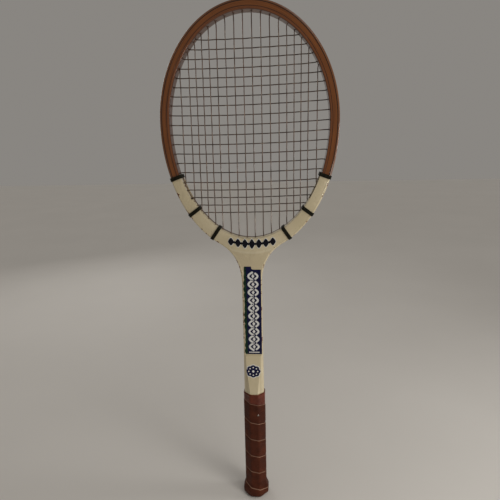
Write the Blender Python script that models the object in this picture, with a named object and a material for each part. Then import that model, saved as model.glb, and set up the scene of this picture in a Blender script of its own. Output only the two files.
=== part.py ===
"""A strung wooden tennis racket standing upright on its butt.

The head and shaft are bent plies glued side by side. They run up one side of
the shaft, round the head and down the other side. A wedge and a bow strip close
the throat, thin overlays cover both faces from the shoulders down, and the
handle is built up from four flakes under a spiral of leather.

Metres, +Z from the butt to the tip of the head, -Y is the front face and the
racket is symmetric about X = 0.
"""
import math

import bmesh
import bpy
from mathutils import Vector

# Head outline: two half ellipses that share one width, above and below the centre.
LENGTH = 0.686
HEAD_CENTRE = 0.545
HEAD_HALF_WIDTH = 0.112
HEAD_RISE = LENGTH - HEAD_CENTRE
HEAD_DROP = 0.1645
THROAT_ANGLE = math.radians(22)

# Shaft and the curve that joins it to the head.
SHAFT_HALF_WIDTH = 0.0134
THROAT_START = 0.335
THROAT_PULL_LOW = 0.030
THROAT_PULL_HIGH = 0.020

# Plies, each given by how far its two faces lie inside the outline.
HALF_DEPTH = 0.0087
OUTER_PLY = (0.0, 0.0032)
CORE_PLY = (0.0035, 0.0091)
INNER_PLY = (0.0094, 0.0124)
OUTER_EDGE_RADIUS = 0.0024
INNER_EDGE_RADIUS = 0.0016

# Inside of the throat: the bow strip's upper face is part of an ellipse.
BOW_HALF_WIDTH = 0.099
BOW_DROP = 0.146
BOW_END_ANGLE = math.radians(50)
WEDGE_TOP = 0.3942
WEDGE_CORNER_X = 0.0342
WEDGE_FOOT = 0.344

# Overlays on the two faces.
OVERLAY = 0.0006
OVERLAY_INSET = 0.0026
OVERLAY_TOP_ANGLE = math.radians(124.7)

# Bindings: polar angle from the tip, at the outside and at the inside of the hoop.
BINDINGS = {
    "upper": (math.radians(123.8), math.radians(125.6)),
    "middle": (math.radians(145.1), math.radians(147.4)),
    "lower": (math.radians(160.5), math.radians(162.4)),
}
BINDING_WIDTH = 0.0048
BINDING_THICKNESS = 0.0007
BINDING_SLANT_ALLOWANCE = 0.0003

# Strings.
STRING_RADIUS = 0.00065
CHANNEL_RADIUS = 0.0013
STRING_SINK = 0.00075
LOOP_BULGE = 0.0018
BEND_DEPTH = 0.0012
WEAVE = 0.0016
MAIN_STEPS = (0.0054, 0.0108, 0.0107, 0.0107, 0.0096, 0.0089, 0.0085, 0.0089, 0.0111)
CROSS_TOP = 0.6436
CROSS_STEPS = ((7, 0.01085), (7, 0.01180), (1, 0.0126), (4, 0.00985))
HOLE_PITCH = math.radians(2.05)
WEDGE_LOOP_DEPTH = 0.0064
CENTRAL_MAINS = 3

# Handle.
FLAKE_FOOT = 0.0225
FLAKE_SHOULDER = 0.176
FLAKE_TOP = 0.232
HANDLE_HALF_WIDTH = 0.0140
HANDLE_HALF_DEPTH = 0.0128
HANDLE_CHAMFER = 0.0084
COLLAR_TOP = 0.1716
COLLAR_THICKNESS = 0.0010
LEATHER_THICKNESS = 0.0013
LEATHER_PITCH = 0.0277
LEATHER_TOP = 0.1600
LEATHER_POINT = 0.28
LEATHER_FOOT = 0.0030
LEATHER_GAP = 0.0004
BUTT_HEIGHT = 0.0222
BUTT_SWELL = 0.0033
BUTT_SWELL_HEIGHT = 0.0085
BUTT_BLOCK_SHARE = 0.76
BUTT_DISC = 0.0027
TACK_RADIUS = 0.0013
TACK_DOME = 0.45
TACK_PLACE = (0.0056, 0.1397)
CLEARANCE = 0.0003

PLY_STEPS = 14
THROAT_STEPS = 8

COLOURS = {
    "stained_wood": (0.30, 0.12, 0.04, 1),
    "dark_fibre": (0.05, 0.02, 0.01, 1),
    "ash_core": (0.46, 0.24, 0.10, 1),
    "red_ply": (0.33, 0.11, 0.05, 1),
    "ivory_paint": (0.80, 0.76, 0.60, 1),
    "black_binding": (0.02, 0.025, 0.02, 1),
    "string": (0.33, 0.24, 0.17, 1),
    "handle_wood": (0.52, 0.36, 0.20, 1),
    "leather": (0.16, 0.055, 0.025, 1),
    "collar": (0.24, 0.06, 0.025, 1),
    "nickel": (0.62, 0.60, 0.56, 1),
}


# ---------------------------------------------------------------- outline maths

def ellipse_radius(angle, half_width, half_height):
    """Distance from the centre to an ellipse, at a polar angle from +Z."""
    across = math.sin(angle) / half_width
    along = math.cos(angle) / half_height
    return 1 / math.hypot(across, along)


def outer_radius(angle):
    """Distance from the head centre to the outside of the hoop."""
    height = HEAD_RISE if math.cos(angle) > 0 else HEAD_DROP
    return ellipse_radius(angle, HEAD_HALF_WIDTH, height)


def inner_radius(angle):
    """Distance from the head centre to the inside of the hoop or the bow strip."""
    thickness = INNER_PLY[1]
    height = (HEAD_RISE if math.cos(angle) > 0 else HEAD_DROP) - thickness
    hoop = ellipse_radius(angle, HEAD_HALF_WIDTH - thickness, height)
    if math.cos(angle) > 0:
        return hoop
    return min(hoop, ellipse_radius(angle, BOW_HALF_WIDTH, BOW_DROP))


def head_point(angle, radius):
    """Point in the XZ plane at a polar angle from the tip about the head centre."""
    return Vector((radius * math.sin(angle), 0, HEAD_CENTRE + radius * math.cos(angle)))


def bezier(points, t):
    """Point and direction on a cubic Bezier curve."""
    p0, p1, p2, p3 = points
    s = 1 - t
    point = p0 * s**3 + p1 * (3 * s * s * t) + p2 * (3 * s * t * t) + p3 * t**3
    direction = (p1 - p0) * (s * s) + (p2 - p1) * (2 * s * t) + (p3 - p2) * (t * t)
    return point, direction.normalized()


def right_outline(foot):
    """Points and inward normals up the right side, from the shaft foot to the tip."""
    run = [(Vector((SHAFT_HALF_WIDTH, 0, foot)), Vector((0, 0, 1)))]
    join = Vector((HEAD_HALF_WIDTH * math.sin(THROAT_ANGLE), 0,
                   HEAD_CENTRE - HEAD_DROP * math.cos(THROAT_ANGLE)))
    join_way = Vector((HEAD_HALF_WIDTH * math.cos(THROAT_ANGLE), 0,
                       HEAD_DROP * math.sin(THROAT_ANGLE))).normalized()
    start = Vector((SHAFT_HALF_WIDTH, 0, THROAT_START))
    controls = (start, start + Vector((0, 0, THROAT_PULL_LOW)),
                join - join_way * THROAT_PULL_HIGH, join)
    for i in range(THROAT_STEPS):
        run.append(bezier(controls, i / THROAT_STEPS))
    for i in range(2 * PLY_STEPS):
        turn = THROAT_ANGLE + (math.pi - THROAT_ANGLE) * i / (2 * PLY_STEPS)
        drop = HEAD_DROP if math.cos(turn) > 0 else HEAD_RISE
        point = Vector((HEAD_HALF_WIDTH * math.sin(turn), 0, HEAD_CENTRE - drop * math.cos(turn)))
        way = Vector((HEAD_HALF_WIDTH * math.cos(turn), 0, drop * math.sin(turn)))
        run.append((point, way.normalized()))
    run.append((Vector((0, 0, LENGTH)), Vector((-1, 0, 0))))
    return [(point, Vector((-way.z, 0, way.x))) for point, way in run]


def right_offset(inset, foot):
    """The right outline moved inwards by a distance."""
    return [point + normal * inset for point, normal in right_outline(foot)]


def hoop_line(inset, foot):
    """A line parallel to the whole outline, up the right side and down the left."""
    right = right_offset(inset, foot)
    left = [Vector((-p.x, 0, p.z)) for p in reversed(right[:-1])]
    return right + left


# ------------------------------------------------------------- modelling helpers

def new_collection(name):
    """Collection linked to the scene."""
    collection = bpy.data.collections.new(name)
    bpy.context.scene.collection.children.link(collection)
    return collection


def material(name, colour):
    """Plain Principled material."""
    made = bpy.data.materials.new(name)
    made.use_nodes = True
    shader = made.node_tree.nodes["Principled BSDF"]
    shader.inputs["Base Color"].default_value = COLOURS[colour]
    shader.inputs["Roughness"].default_value = 0.45
    if colour == "nickel":
        shader.inputs["Metallic"].default_value = 1.0
        shader.inputs["Roughness"].default_value = 0.3
    return made


def flat_spline(points, name, closed=True):
    """2D curve through XZ points. Its local XY plane stands for the world XZ plane."""
    curve = bpy.data.curves.new(name, "CURVE")
    curve.dimensions = "2D"
    spline = curve.splines.new("POLY")
    spline.points.add(len(points) - 1)
    for slot, point in zip(spline.points, points):
        slot.co = (point.x, point.z, 0, 1)
    spline.use_cyclic_u = closed
    return curve


def mesh_from_curve(curve, name):
    """Mesh data of a curve, with its caps welded on."""
    holder = bpy.data.objects.new(name + "_curve", curve)
    bpy.context.scene.collection.objects.link(holder)
    bpy.context.view_layer.update()
    evaluated = holder.evaluated_get(bpy.context.evaluated_depsgraph_get())
    mesh = bpy.data.meshes.new_from_object(evaluated)
    bpy.data.objects.remove(holder)
    shape = bmesh.new()
    shape.from_mesh(mesh)
    bmesh.ops.remove_doubles(shape, verts=shape.verts, dist=1e-6)
    bmesh.ops.recalc_face_normals(shape, faces=shape.faces)
    shape.to_mesh(mesh)
    shape.free()
    return mesh


def stand_up(mesh):
    """Turn mesh data drawn in the XY plane so that its Y runs up the racket."""
    for vertex in mesh.vertices:
        x, y, z = vertex.co
        vertex.co = (x, -z, y)


def add(mesh, name, colour, collection, smooth=False):
    """Object with its own material."""
    mesh.name = name
    made = bpy.data.objects.new(name, mesh)
    collection.objects.link(made)
    made.data.materials.clear()
    made.data.materials.append(material(name + "_material", colour))
    for face in made.data.polygons:
        face.use_smooth = smooth
    return made


def plate(points, name, thickness):
    """Flat plate cut to an outline in the XZ plane, centred on Y = 0."""
    curve = flat_spline(points, name)
    curve.fill_mode = "BOTH"
    curve.extrude = thickness / 2
    mesh = mesh_from_curve(curve, name)
    stand_up(mesh)
    return mesh


def rounded_section(half_width, half_depth, outer_radius_, inner_radius_):
    """Ply cross-section, with its corners rounded on the outer and the inner side."""
    points = []
    corners = ((1, 1, inner_radius_, 0), (-1, 1, outer_radius_, 90),
               (-1, -1, outer_radius_, 180), (1, -1, inner_radius_, 270))
    for side, face, radius, start in corners:
        if radius == 0:
            points.append(Vector((side * half_width, 0, face * half_depth)))
            continue
        centre = Vector((side * (half_width - radius), 0, face * (half_depth - radius)))
        for turn in (0, 45, 90):
            angle = math.radians(start + turn)
            points.append(centre + Vector((radius * math.cos(angle), 0, radius * math.sin(angle))))
    return points


def swept_ply(name, faces, foot, outer_round=0.0, inner_round=0.0):
    """A ply swept along its own mid-line round the whole racket."""
    middle = (faces[0] + faces[1]) / 2
    section = rounded_section((faces[1] - faces[0]) / 2, HALF_DEPTH, outer_round, inner_round)
    profile = bpy.data.objects.new(name + "_section", flat_spline(section, name + "_section"))
    bpy.context.scene.collection.objects.link(profile)
    curve = flat_spline(hoop_line(middle, foot), name, closed=False)
    curve.bevel_mode = "OBJECT"
    curve.bevel_object = profile
    curve.use_fill_caps = True
    mesh = mesh_from_curve(curve, name)
    bpy.data.objects.remove(profile)
    stand_up(mesh)
    return mesh


def tube(paths, name, radius, resolution):
    """Round cord of several separate runs, each given as a list of points."""
    curve = bpy.data.curves.new(name, "CURVE")
    curve.dimensions = "3D"
    curve.bevel_depth = radius
    curve.bevel_resolution = resolution
    curve.use_fill_caps = True
    for path in paths:
        spline = curve.splines.new("POLY")
        spline.points.add(len(path) - 1)
        for slot, point in zip(spline.points, path):
            slot.co = (*point, 1)
    return mesh_from_curve(curve, name)


def cut(target, cutter):
    """Exact Boolean difference, left as a modifier."""
    boolean = target.modifiers.new("cut_" + cutter.name, "BOOLEAN")
    boolean.operation = "DIFFERENCE"
    boolean.solver = "EXACT"
    boolean.object = cutter


def add_cutter(mesh, name, collection):
    """Hidden object that only serves as a Boolean cutter."""
    made = bpy.data.objects.new(name, mesh)
    made.hide_render = True
    made.display_type = "WIRE"
    collection.objects.link(made)
    return made


def loft(sections, name, closed=False):
    """Skin over rings of equal length, capped at both ends unless the run is closed."""
    shape = bmesh.new()
    rings = [[shape.verts.new(point) for point in section] for section in sections]
    pairs = list(zip(rings, rings[1:] + rings[:1] if closed else rings[1:]))
    for low, high in pairs:
        for i in range(len(low)):
            j = (i + 1) % len(low)
            shape.faces.new((low[i], low[j], high[j], high[i]))
    if not closed:
        shape.faces.new(list(reversed(rings[0])))
        shape.faces.new(rings[-1])
    bmesh.ops.recalc_face_normals(shape, faces=shape.faces)
    mesh = bpy.data.meshes.new(name)
    shape.to_mesh(mesh)
    shape.free()
    return mesh


# ------------------------------------------------------------------- the strings

def main_positions():
    """X of every main string, from left to right."""
    right = []
    x = 0
    for step in MAIN_STEPS:
        x += step
        right.append(x)
    return [-value for value in reversed(right)] + right


def cross_positions():
    """Z of every cross string, from the tip down."""
    heights = [CROSS_TOP]
    for count, step in CROSS_STEPS:
        for _ in range(count):
            heights.append(heights[-1] - step)
    return heights


def rim_angle_at_x(x, top):
    """Polar angle at which a vertical line meets the inside of the head, x > 0."""
    low, high = (0.0, math.pi / 2) if top else (math.pi / 2, math.pi)
    for _ in range(40):
        middle = (low + high) / 2
        reach = inner_radius(middle) * math.sin(middle)
        if (reach < x) == top:
            low = middle
        else:
            high = middle
    return low


def rim_angle_at_z(z):
    """Polar angle at which a level line meets the inside of the head."""
    low, high = 0.0, math.pi
    for _ in range(40):
        middle = (low + high) / 2
        if HEAD_CENTRE + inner_radius(middle) * math.cos(middle) > z:
            low = middle
        else:
            high = middle
    return low


def string_holes():
    """Polar angles of the holes on the right half, spread so that none meet.

    Keys are ("top", i) and ("foot", i) for main i counted from the middle, and
    ("side", j) for cross j counted from the tip. Holes also keep off the bindings.
    """
    mains = main_positions()[len(MAIN_STEPS):]
    holes = {}
    for i, x in enumerate(mains):
        holes["top", i] = rim_angle_at_x(x, True)
        holes["foot", i] = rim_angle_at_x(x, False)
    for j, z in enumerate(cross_positions()):
        holes["side", j] = rim_angle_at_z(z)
    for name, (_, inside) in BINDINGS.items():
        holes["binding", name] = inside
    for _ in range(200):
        order = sorted(holes, key=holes.get)
        for first, second in zip(order, order[1:]):
            blocked = "binding" in (first[0], second[0])
            need = HOLE_PITCH * (1.0 if blocked else 0.95)
            short = need - (holes[second] - holes[first])
            if short <= 0:
                continue
            if first[0] != "binding":
                holes[first] -= short / (1 if second[0] == "binding" else 2)
            if second[0] != "binding":
                holes[second] += short / (1 if first[0] == "binding" else 2)
    return holes


def groove_run(start, end, bulge):
    """Loop along the outside of the hoop between two holes, clear of a hole between them."""
    run = []
    for part in (0.27, 0.73):
        angle = start + (end - start) * part
        point = head_point(angle, outer_radius(angle) - STRING_SINK)
        run.append(point + Vector((0, bulge, 0)))
    return run


def bend_point(angle):
    """Where a string turns into its hole, just inside the wood."""
    return head_point(angle, inner_radius(abs(angle)) + BEND_DEPTH)


def main_string_path(holes):
    """One string that runs up and down through every main, from the right to the left."""
    count = len(MAIN_STEPS)
    mains = main_positions()
    crosses = cross_positions()
    path = []
    for index in reversed(range(2 * count)):
        x = mains[index]
        side = 1 if x > 0 else -1
        i = index - count if x > 0 else count - 1 - index
        top = side * holes["top", i]
        foot = side * holes["foot", i]
        held = [z for j, z in enumerate(crosses) if abs(x) < crossing_reach(holes, j)]
        held = [z for z in held if main_spans(holes, i, z)]
        foot_depth = outer_radius(foot) - STRING_SINK
        if i < CENTRAL_MAINS:
            foot_depth = inner_radius(foot) + WEDGE_LOOP_DEPTH
        run = [head_point(top, outer_radius(top) - STRING_SINK), bend_point(top),
               Vector((x, 0, held[0])), Vector((x, 0, held[-1])),
               bend_point(foot), head_point(foot, foot_depth)]
        going_down = (2 * count - 1 - index) % 2 == 0
        if not going_down:
            run.reverse()
        if path and going_down:
            path += groove_run(last_top, top, -LOOP_BULGE)
        if path and not going_down and i >= CENTRAL_MAINS:
            path += groove_run(last_foot, foot, -LOOP_BULGE)
        path += run
        last_top = top
        last_foot = foot
    return path


def crossing_reach(holes, j):
    """How far out a cross string still meets a main string."""
    angle = holes["side", j]
    return inner_radius(angle) * math.sin(angle) - 0.0005


def main_spans(holes, i, z):
    """Whether main i, counted from the middle, runs past a height inside the head."""
    top = head_point(holes["top", i], inner_radius(holes["top", i])).z
    foot = head_point(holes["foot", i], inner_radius(holes["foot", i])).z
    return foot + 0.001 < z < top - 0.001


def cross_string_path(holes):
    """One string that runs from side to side, over and under the mains."""
    count = len(MAIN_STEPS)
    mains = main_positions()
    path = []
    last = None
    for j, z in enumerate(cross_positions()):
        angle = holes["side", j]
        rightward = j % 2 == 0
        run = [head_point(-angle, outer_radius(angle) - STRING_SINK), bend_point(-angle)]
        for index, x in enumerate(mains):
            i = index - count if x > 0 else count - 1 - index
            if abs(x) < crossing_reach(holes, j) and main_spans(holes, i, z):
                side = 1 if (index + j) % 2 == 0 else -1
                run.append(Vector((x, side * WEAVE, z)))
        run += [bend_point(angle), head_point(angle, outer_radius(angle) - STRING_SINK)]
        if not rightward:
            run.reverse()
        if last is not None:
            side = -1 if rightward else 1
            path += groove_run(side * last, side * angle, LOOP_BULGE)
        path += run
        last = angle
    return path


# -------------------------------------------------------------- wood of the frame

def hoop_plies(parts, channels):
    """The three bent plies that make the head and both halves of the shaft."""
    side_flake_top = FLAKE_TOP + CLEARANCE
    butt_top = BUTT_HEIGHT + CLEARANCE
    plies = (
        ("hoop_outer_ply", OUTER_PLY, side_flake_top, OUTER_EDGE_RADIUS, 0, "stained_wood"),
        ("hoop_core_ply", CORE_PLY, butt_top, 0, 0, "ash_core"),
        ("hoop_inner_ply", INNER_PLY, butt_top, 0, INNER_EDGE_RADIUS, "red_ply"),
    )
    for name, faces, foot, outer_round, inner_round, colour in plies:
        made = add(swept_ply(name, faces, foot, outer_round, inner_round), name, colour, parts)
        for channel in channels:
            cut(made, channel)


def wedge_top_arc(lift):
    """Arc along the top of the wedge, from its right corner to its left corner."""
    corner = right_corner()
    rise = corner.z - WEDGE_TOP
    radius = (WEDGE_CORNER_X**2 + rise**2) / (2 * rise)
    sweep = math.asin(WEDGE_CORNER_X / radius)
    steps = 8
    points = []
    for i in range(steps + 1):
        angle = sweep * (1 - 2 * i / steps)
        points.append(Vector((radius * math.sin(angle), 0,
                              WEDGE_TOP + lift + radius * (1 - math.cos(angle)))))
    return points


def inner_face_line():
    """The inside of the right leg with a glue gap, from the foot upwards."""
    return right_offset(INNER_PLY[1] + 2 * CLEARANCE, BUTT_HEIGHT)


def right_corner():
    """Where the wedge, the bow strip and the right leg come together."""
    line = inner_face_line()
    for low, high in zip(line, line[1:]):
        if low.x <= WEDGE_CORNER_X <= high.x:
            part = (WEDGE_CORNER_X - low.x) / (high.x - low.x)
            return low.lerp(high, part)
    return line[-1]


def throat_wedge(parts, channels):
    """Solid filler between the two legs below the bow strip."""
    corner = right_corner()
    side = [p for p in inner_face_line() if WEDGE_FOOT < p.z < corner.z - 0.001]
    right = [Vector((side[0].x, 0, WEDGE_FOOT))] + side
    left = [Vector((-p.x, 0, p.z)) for p in reversed(right)]
    outline = right + wedge_top_arc(0) + left
    made = add(plate(outline, "throat_wedge", 2 * HALF_DEPTH), "throat_wedge", "ash_core", parts)
    for channel in channels:
        cut(made, channel)


def bow_strip(parts, channels):
    """Tapered strip that lines the inside of the throat over the wedge."""
    corner = right_corner()
    lower = [p for p in inner_face_line() if p.z > corner.z + 0.001 and p.z < HEAD_CENTRE]
    end = HEAD_CENTRE - BOW_DROP * math.cos(BOW_END_ANGLE)
    lower = [p for p in lower if p.z < end]
    upper = []
    steps = 20
    for i in range(steps + 1):
        turn = BOW_END_ANGLE * (2 * i / steps - 1)
        upper.append(Vector((-BOW_HALF_WIDTH * math.sin(turn), 0,
                             HEAD_CENTRE - BOW_DROP * math.cos(turn))))
    left = [Vector((-p.x, 0, p.z)) for p in lower]
    outline = list(reversed(lower)) + wedge_top_arc(CLEARANCE) + left + list(reversed(upper))
    made = add(plate(outline, "throat_bow_strip", 2 * HALF_DEPTH), "throat_bow_strip", "red_ply",
               parts)
    for channel in channels:
        cut(made, channel)


def shaft_centre_strip(parts):
    """Thin strip between the two halves of the shaft, from the butt to the wedge."""
    half = SHAFT_HALF_WIDTH - INNER_PLY[1] - CLEARANCE
    low = BUTT_HEIGHT + CLEARANCE
    high = WEDGE_FOOT - CLEARANCE
    outline = [Vector((-half, 0, low)), Vector((half, 0, low)),
               Vector((half, 0, high)), Vector((-half, 0, high))]
    add(plate(outline, "shaft_centre_strip", 2 * HALF_DEPTH), "shaft_centre_strip", "dark_fibre",
        parts)


def face_overlays(parts):
    """Thin veneers on both faces, from the upper bindings down to the handle."""
    foot = FLAKE_TOP + CLEARANCE
    outer = []
    for point in right_offset(OVERLAY_INSET, foot):
        angle = math.atan2(point.x, point.z - HEAD_CENTRE)
        if angle > OVERLAY_TOP_ANGLE:
            outer.append(point)
    outer.append(head_point(OVERLAY_TOP_ANGLE, outer_radius(OVERLAY_TOP_ANGLE) - OVERLAY_INSET))
    inner = []
    steps = 15
    for i in range(steps + 1):
        angle = OVERLAY_TOP_ANGLE + (math.pi - OVERLAY_TOP_ANGLE) * i / steps
        inner.append(head_point(angle, inner_radius(angle) + INNER_EDGE_RADIUS))
    right = outer + inner
    left = [Vector((-p.x, 0, p.z)) for p in reversed(right[:-1])]
    for name, side in (("front_overlay", -1), ("back_overlay", 1)):
        mesh = plate(right + left, name, OVERLAY)
        for vertex in mesh.vertices:
            vertex.co.y += side * (HALF_DEPTH + CLEARANCE + OVERLAY / 2)
        add(mesh, name, "ivory_paint", parts)


def binding(name, outside, inside, side, parts):
    """Band wrapped round the hoop, standing across it."""
    clear = CLEARANCE + BINDING_THICKNESS
    start = head_point(outside * side, outer_radius(outside) + clear + BINDING_SLANT_ALLOWANCE)
    end = head_point(inside * side, inner_radius(inside) - clear - BINDING_SLANT_ALLOWANCE)
    across = (end - start).normalized()
    along = Vector((across.z, 0, -across.x)) * (BINDING_WIDTH / 2)
    reach = HALF_DEPTH + OVERLAY + CLEARANCE + clear
    sections = []
    for shrink in (0, BINDING_THICKNESS):
        near = start + across * shrink
        far = end - across * shrink
        depth = reach - shrink
        bend = OUTER_EDGE_RADIUS - shrink
        ring = []
        for base, way, y_side in ((near, 1, -1), (far, -1, -1), (far, -1, 1), (near, 1, 1)):
            corner = [(bend, 0), (0.3 * bend, 0.3 * bend), (0, bend)]
            if (way == 1) == (y_side == -1):
                corner.reverse()
            for inward, sideways in corner:
                ring.append(base + across * (way * inward)
                            + Vector((0, y_side * (depth - sideways), 0)))
        sections.append(ring)
    outer, inner = sections
    rings = [[p + along for p in outer], [p - along for p in outer],
             [p - along for p in inner], [p + along for p in inner]]
    add(loft(rings, name, closed=True), name, "black_binding", parts)


def bindings(parts):
    """Three bindings on each shoulder."""
    for level, (outside, inside) in BINDINGS.items():
        for label, side in (("left", -1), ("right", 1)):
            binding("binding_" + label + "_" + level, outside, inside, side, parts)


# -------------------------------------------------------------------- the handle

def octagon(half_width, half_depth, chamfer, z):
    """Handle cross-section with four long and four cut corners."""
    x, y = half_width, half_depth
    c = chamfer
    corners = ((x, -y + c), (x, y - c), (x - c, y), (-x + c, y),
               (-x, y - c), (-x, -y + c), (-x + c, -y), (x - c, -y))
    return [Vector((px, py, z)) for px, py in corners]


def grown_octagon(growth, z):
    """The handle's section moved outwards by a distance on all eight sides."""
    extra = growth * (2 - math.sqrt(2))
    return octagon(HANDLE_HALF_WIDTH + growth, HANDLE_HALF_DEPTH + growth,
                   HANDLE_CHAMFER + extra, z)


def flake(name, section, thin, parts):
    """Handle flake of constant section whose upper end thins out onto the shaft."""
    rings = [[Vector((x, y, FLAKE_FOOT)) for x, y in section],
             [Vector((x, y, FLAKE_SHOULDER)) for x, y in section],
             [Vector((x, y, FLAKE_TOP)) for x, y in thin]]
    add(loft(rings, name), name, "handle_wood", parts)


def handle_flakes(parts):
    """Side flakes beside the core plies, and front and back flakes over them."""
    corner = HANDLE_HALF_WIDTH + HANDLE_HALF_DEPTH - HANDLE_CHAMFER
    inner = SHAFT_HALF_WIDTH - OUTER_PLY[1]
    for label, side in (("left", -1), ("right", 1)):
        flat = HANDLE_HALF_DEPTH - HANDLE_CHAMFER
        section = [(inner, inner - corner), (HANDLE_HALF_WIDTH, -flat),
                   (HANDLE_HALF_WIDTH, flat), (inner, corner - inner)]
        flat = HALF_DEPTH - OUTER_EDGE_RADIUS
        thin = [(inner, -HALF_DEPTH), (SHAFT_HALF_WIDTH, -flat),
                (SHAFT_HALF_WIDTH, flat), (inner, HALF_DEPTH)]
        flake("handle_flake_" + label, [(side * x, y) for x, y in section],
              [(side * x, y) for x, y in thin], parts)
    near = HALF_DEPTH + CLEARANCE
    for label, side in (("front", -1), ("back", 1)):
        base = corner - near
        flat = HANDLE_HALF_WIDTH - HANDLE_CHAMFER
        section = [(base, near), (flat, HANDLE_HALF_DEPTH), (-flat, HANDLE_HALF_DEPTH),
                   (-base, near)]
        edge = SHAFT_HALF_WIDTH - OVERLAY_INSET
        top = near + OVERLAY
        thin = [(edge, near), (edge - OVERLAY, top), (OVERLAY - edge, top), (-edge, near)]
        flake("handle_flake_" + label, [(x, side * y) for x, y in section],
              [(x, side * y) for x, y in thin], parts)


def swell(z):
    """Extra half width of the handle near the butt."""
    if z <= BUTT_SWELL_HEIGHT:
        return BUTT_SWELL * (1 - 0.35 * ((BUTT_SWELL_HEIGHT - z) / BUTT_SWELL_HEIGHT) ** 2)
    rest = min(1, (z - BUTT_SWELL_HEIGHT) / (BUTT_HEIGHT - BUTT_SWELL_HEIGHT))
    return BUTT_SWELL * 0.5 * (1 + math.cos(math.pi * rest))


def butt(parts):
    """Swollen block at the end of the handle, and the disc that closes it."""
    low = BUTT_DISC + CLEARANCE
    heights = [low + (BUTT_HEIGHT - low) * i / 6 for i in range(7)]
    levels = [grown_octagon(swell(z) * BUTT_BLOCK_SHARE, z) for z in heights]
    add(loft(levels, "butt_block"), "butt_block", "handle_wood", parts)
    rim = swell(0)
    disc = [grown_octagon(rim - 0.0022, 0), grown_octagon(rim + 0.0002, 0.0012),
            grown_octagon(rim + 0.0006, BUTT_DISC)]
    add(loft(disc, "butt_end_disc"), "butt_end_disc", "leather", parts)


def handle_corners():
    """Corner numbers of the handle round one turn from the left, with the share of the turn."""
    corners = grown_octagon(0, 0)
    order = [(4 + k) % 8 for k in range(9)]
    lengths = [0.0]
    for first, second in zip(order, order[1:]):
        lengths.append(lengths[-1] + (corners[second] - corners[first]).length)
    return [(index, length / lengths[-1]) for index, length in zip(order, lengths)]


def leather_bottom(turns):
    """Height of the leather's lower edge after some turns, falling from left to right."""
    return LEATHER_TOP - LEATHER_PITCH * (turns + 1)


def leather_top(turns):
    """Height of the leather's upper edge. Its first end is cut to a point over part of a turn."""
    width = LEATHER_PITCH * min(1, 1 + turns / LEATHER_POINT)
    return leather_bottom(turns) + width


def grip_collar(parts):
    """Band round the handle above the leather, whose lower edge follows the leather."""
    rings = []
    outer = CLEARANCE + COLLAR_THICKNESS
    for index, share in handle_corners()[:8]:
        first_turn = share if share < 1 - LEATHER_POINT else share - 1
        low = leather_top(first_turn) + LEATHER_GAP
        rings.append([grown_octagon(CLEARANCE, low)[index], grown_octagon(outer, low)[index],
                      grown_octagon(outer, COLLAR_TOP)[index],
                      grown_octagon(CLEARANCE, COLLAR_TOP)[index]])
    add(loft(rings, "grip_collar", closed=True), "grip_collar", "collar", parts)


def leather_grip(parts):
    """Strip of leather wound down the handle, its turns edge to edge."""
    rings = []
    corners = handle_corners()[:8]
    step = -8
    while True:
        index, share = corners[step % 8]
        turns = step // 8 + share
        step += 1
        if turns < -LEATHER_POINT:
            continue
        top = leather_top(turns)
        if top < LEATHER_FOOT + 0.002:
            break
        bottom = max(leather_bottom(turns) + LEATHER_GAP, LEATHER_FOOT)
        heights = [bottom + (top - bottom) * row / 3 for row in range(4)]
        inner = [grown_octagon(swell(z) + CLEARANCE, z)[index] for z in heights]
        outer = [grown_octagon(swell(z) + CLEARANCE + LEATHER_THICKNESS, z)[index]
                 for z in heights]
        rings.append(inner + outer[::-1])
    add(loft(rings, "leather_grip"), "leather_grip", "leather", parts)


def grip_tack(parts):
    """Small domed tack head on the front of the leather."""
    name = "grip_tack"
    surface = HANDLE_HALF_DEPTH + 2 * CLEARANCE + LEATHER_THICKNESS
    shape = bmesh.new()
    bmesh.ops.create_uvsphere(shape, u_segments=10, v_segments=6, radius=TACK_RADIUS)
    flat = [v for v in shape.verts if v.co.z < -1e-5]
    for vertex in flat:
        vertex.co.z = 0
    bmesh.ops.remove_doubles(shape, verts=shape.verts, dist=1e-5)
    bmesh.ops.recalc_face_normals(shape, faces=shape.faces)
    for vertex in shape.verts:
        x, y, z = vertex.co
        vertex.co = (x + TACK_PLACE[0], -z * TACK_DOME - surface, y + TACK_PLACE[1])
    mesh = bpy.data.meshes.new(name)
    shape.to_mesh(mesh)
    shape.free()
    add(mesh, name, "nickel", parts, smooth=True)


# ---------------------------------------------------------------------- assembly

def build():
    """Make every piece of the racket."""
    for old in list(bpy.data.objects):
        bpy.data.objects.remove(old)
    parts = new_collection("tennis_racket")
    cutters = new_collection("cutters")
    holes = string_holes()
    main_path = main_string_path(holes)
    cross_path = cross_string_path(holes)
    channels = [
        add_cutter(tube([main_path], "main_channels", CHANNEL_RADIUS, 0), "main_channels", cutters),
        add_cutter(tube([cross_path], "cross_channels", CHANNEL_RADIUS, 0), "cross_channels",
                   cutters),
    ]
    hoop_plies(parts, channels)
    throat_wedge(parts, channels)
    bow_strip(parts, channels)
    shaft_centre_strip(parts)
    face_overlays(parts)
    bindings(parts)
    add(tube([main_path], "main_string", STRING_RADIUS, 1), "main_string", "string", parts, True)
    add(tube([cross_path], "cross_string", STRING_RADIUS, 0), "cross_string", "string", parts,
        True)
    handle_flakes(parts)
    butt(parts)
    grip_collar(parts)
    leather_grip(parts)
    grip_tack(parts)


build()
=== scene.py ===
import math
from bisect import bisect_left
from contextlib import contextmanager
from itertools import accumulate

import bmesh
import bpy
from mathutils import Matrix, Vector


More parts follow.
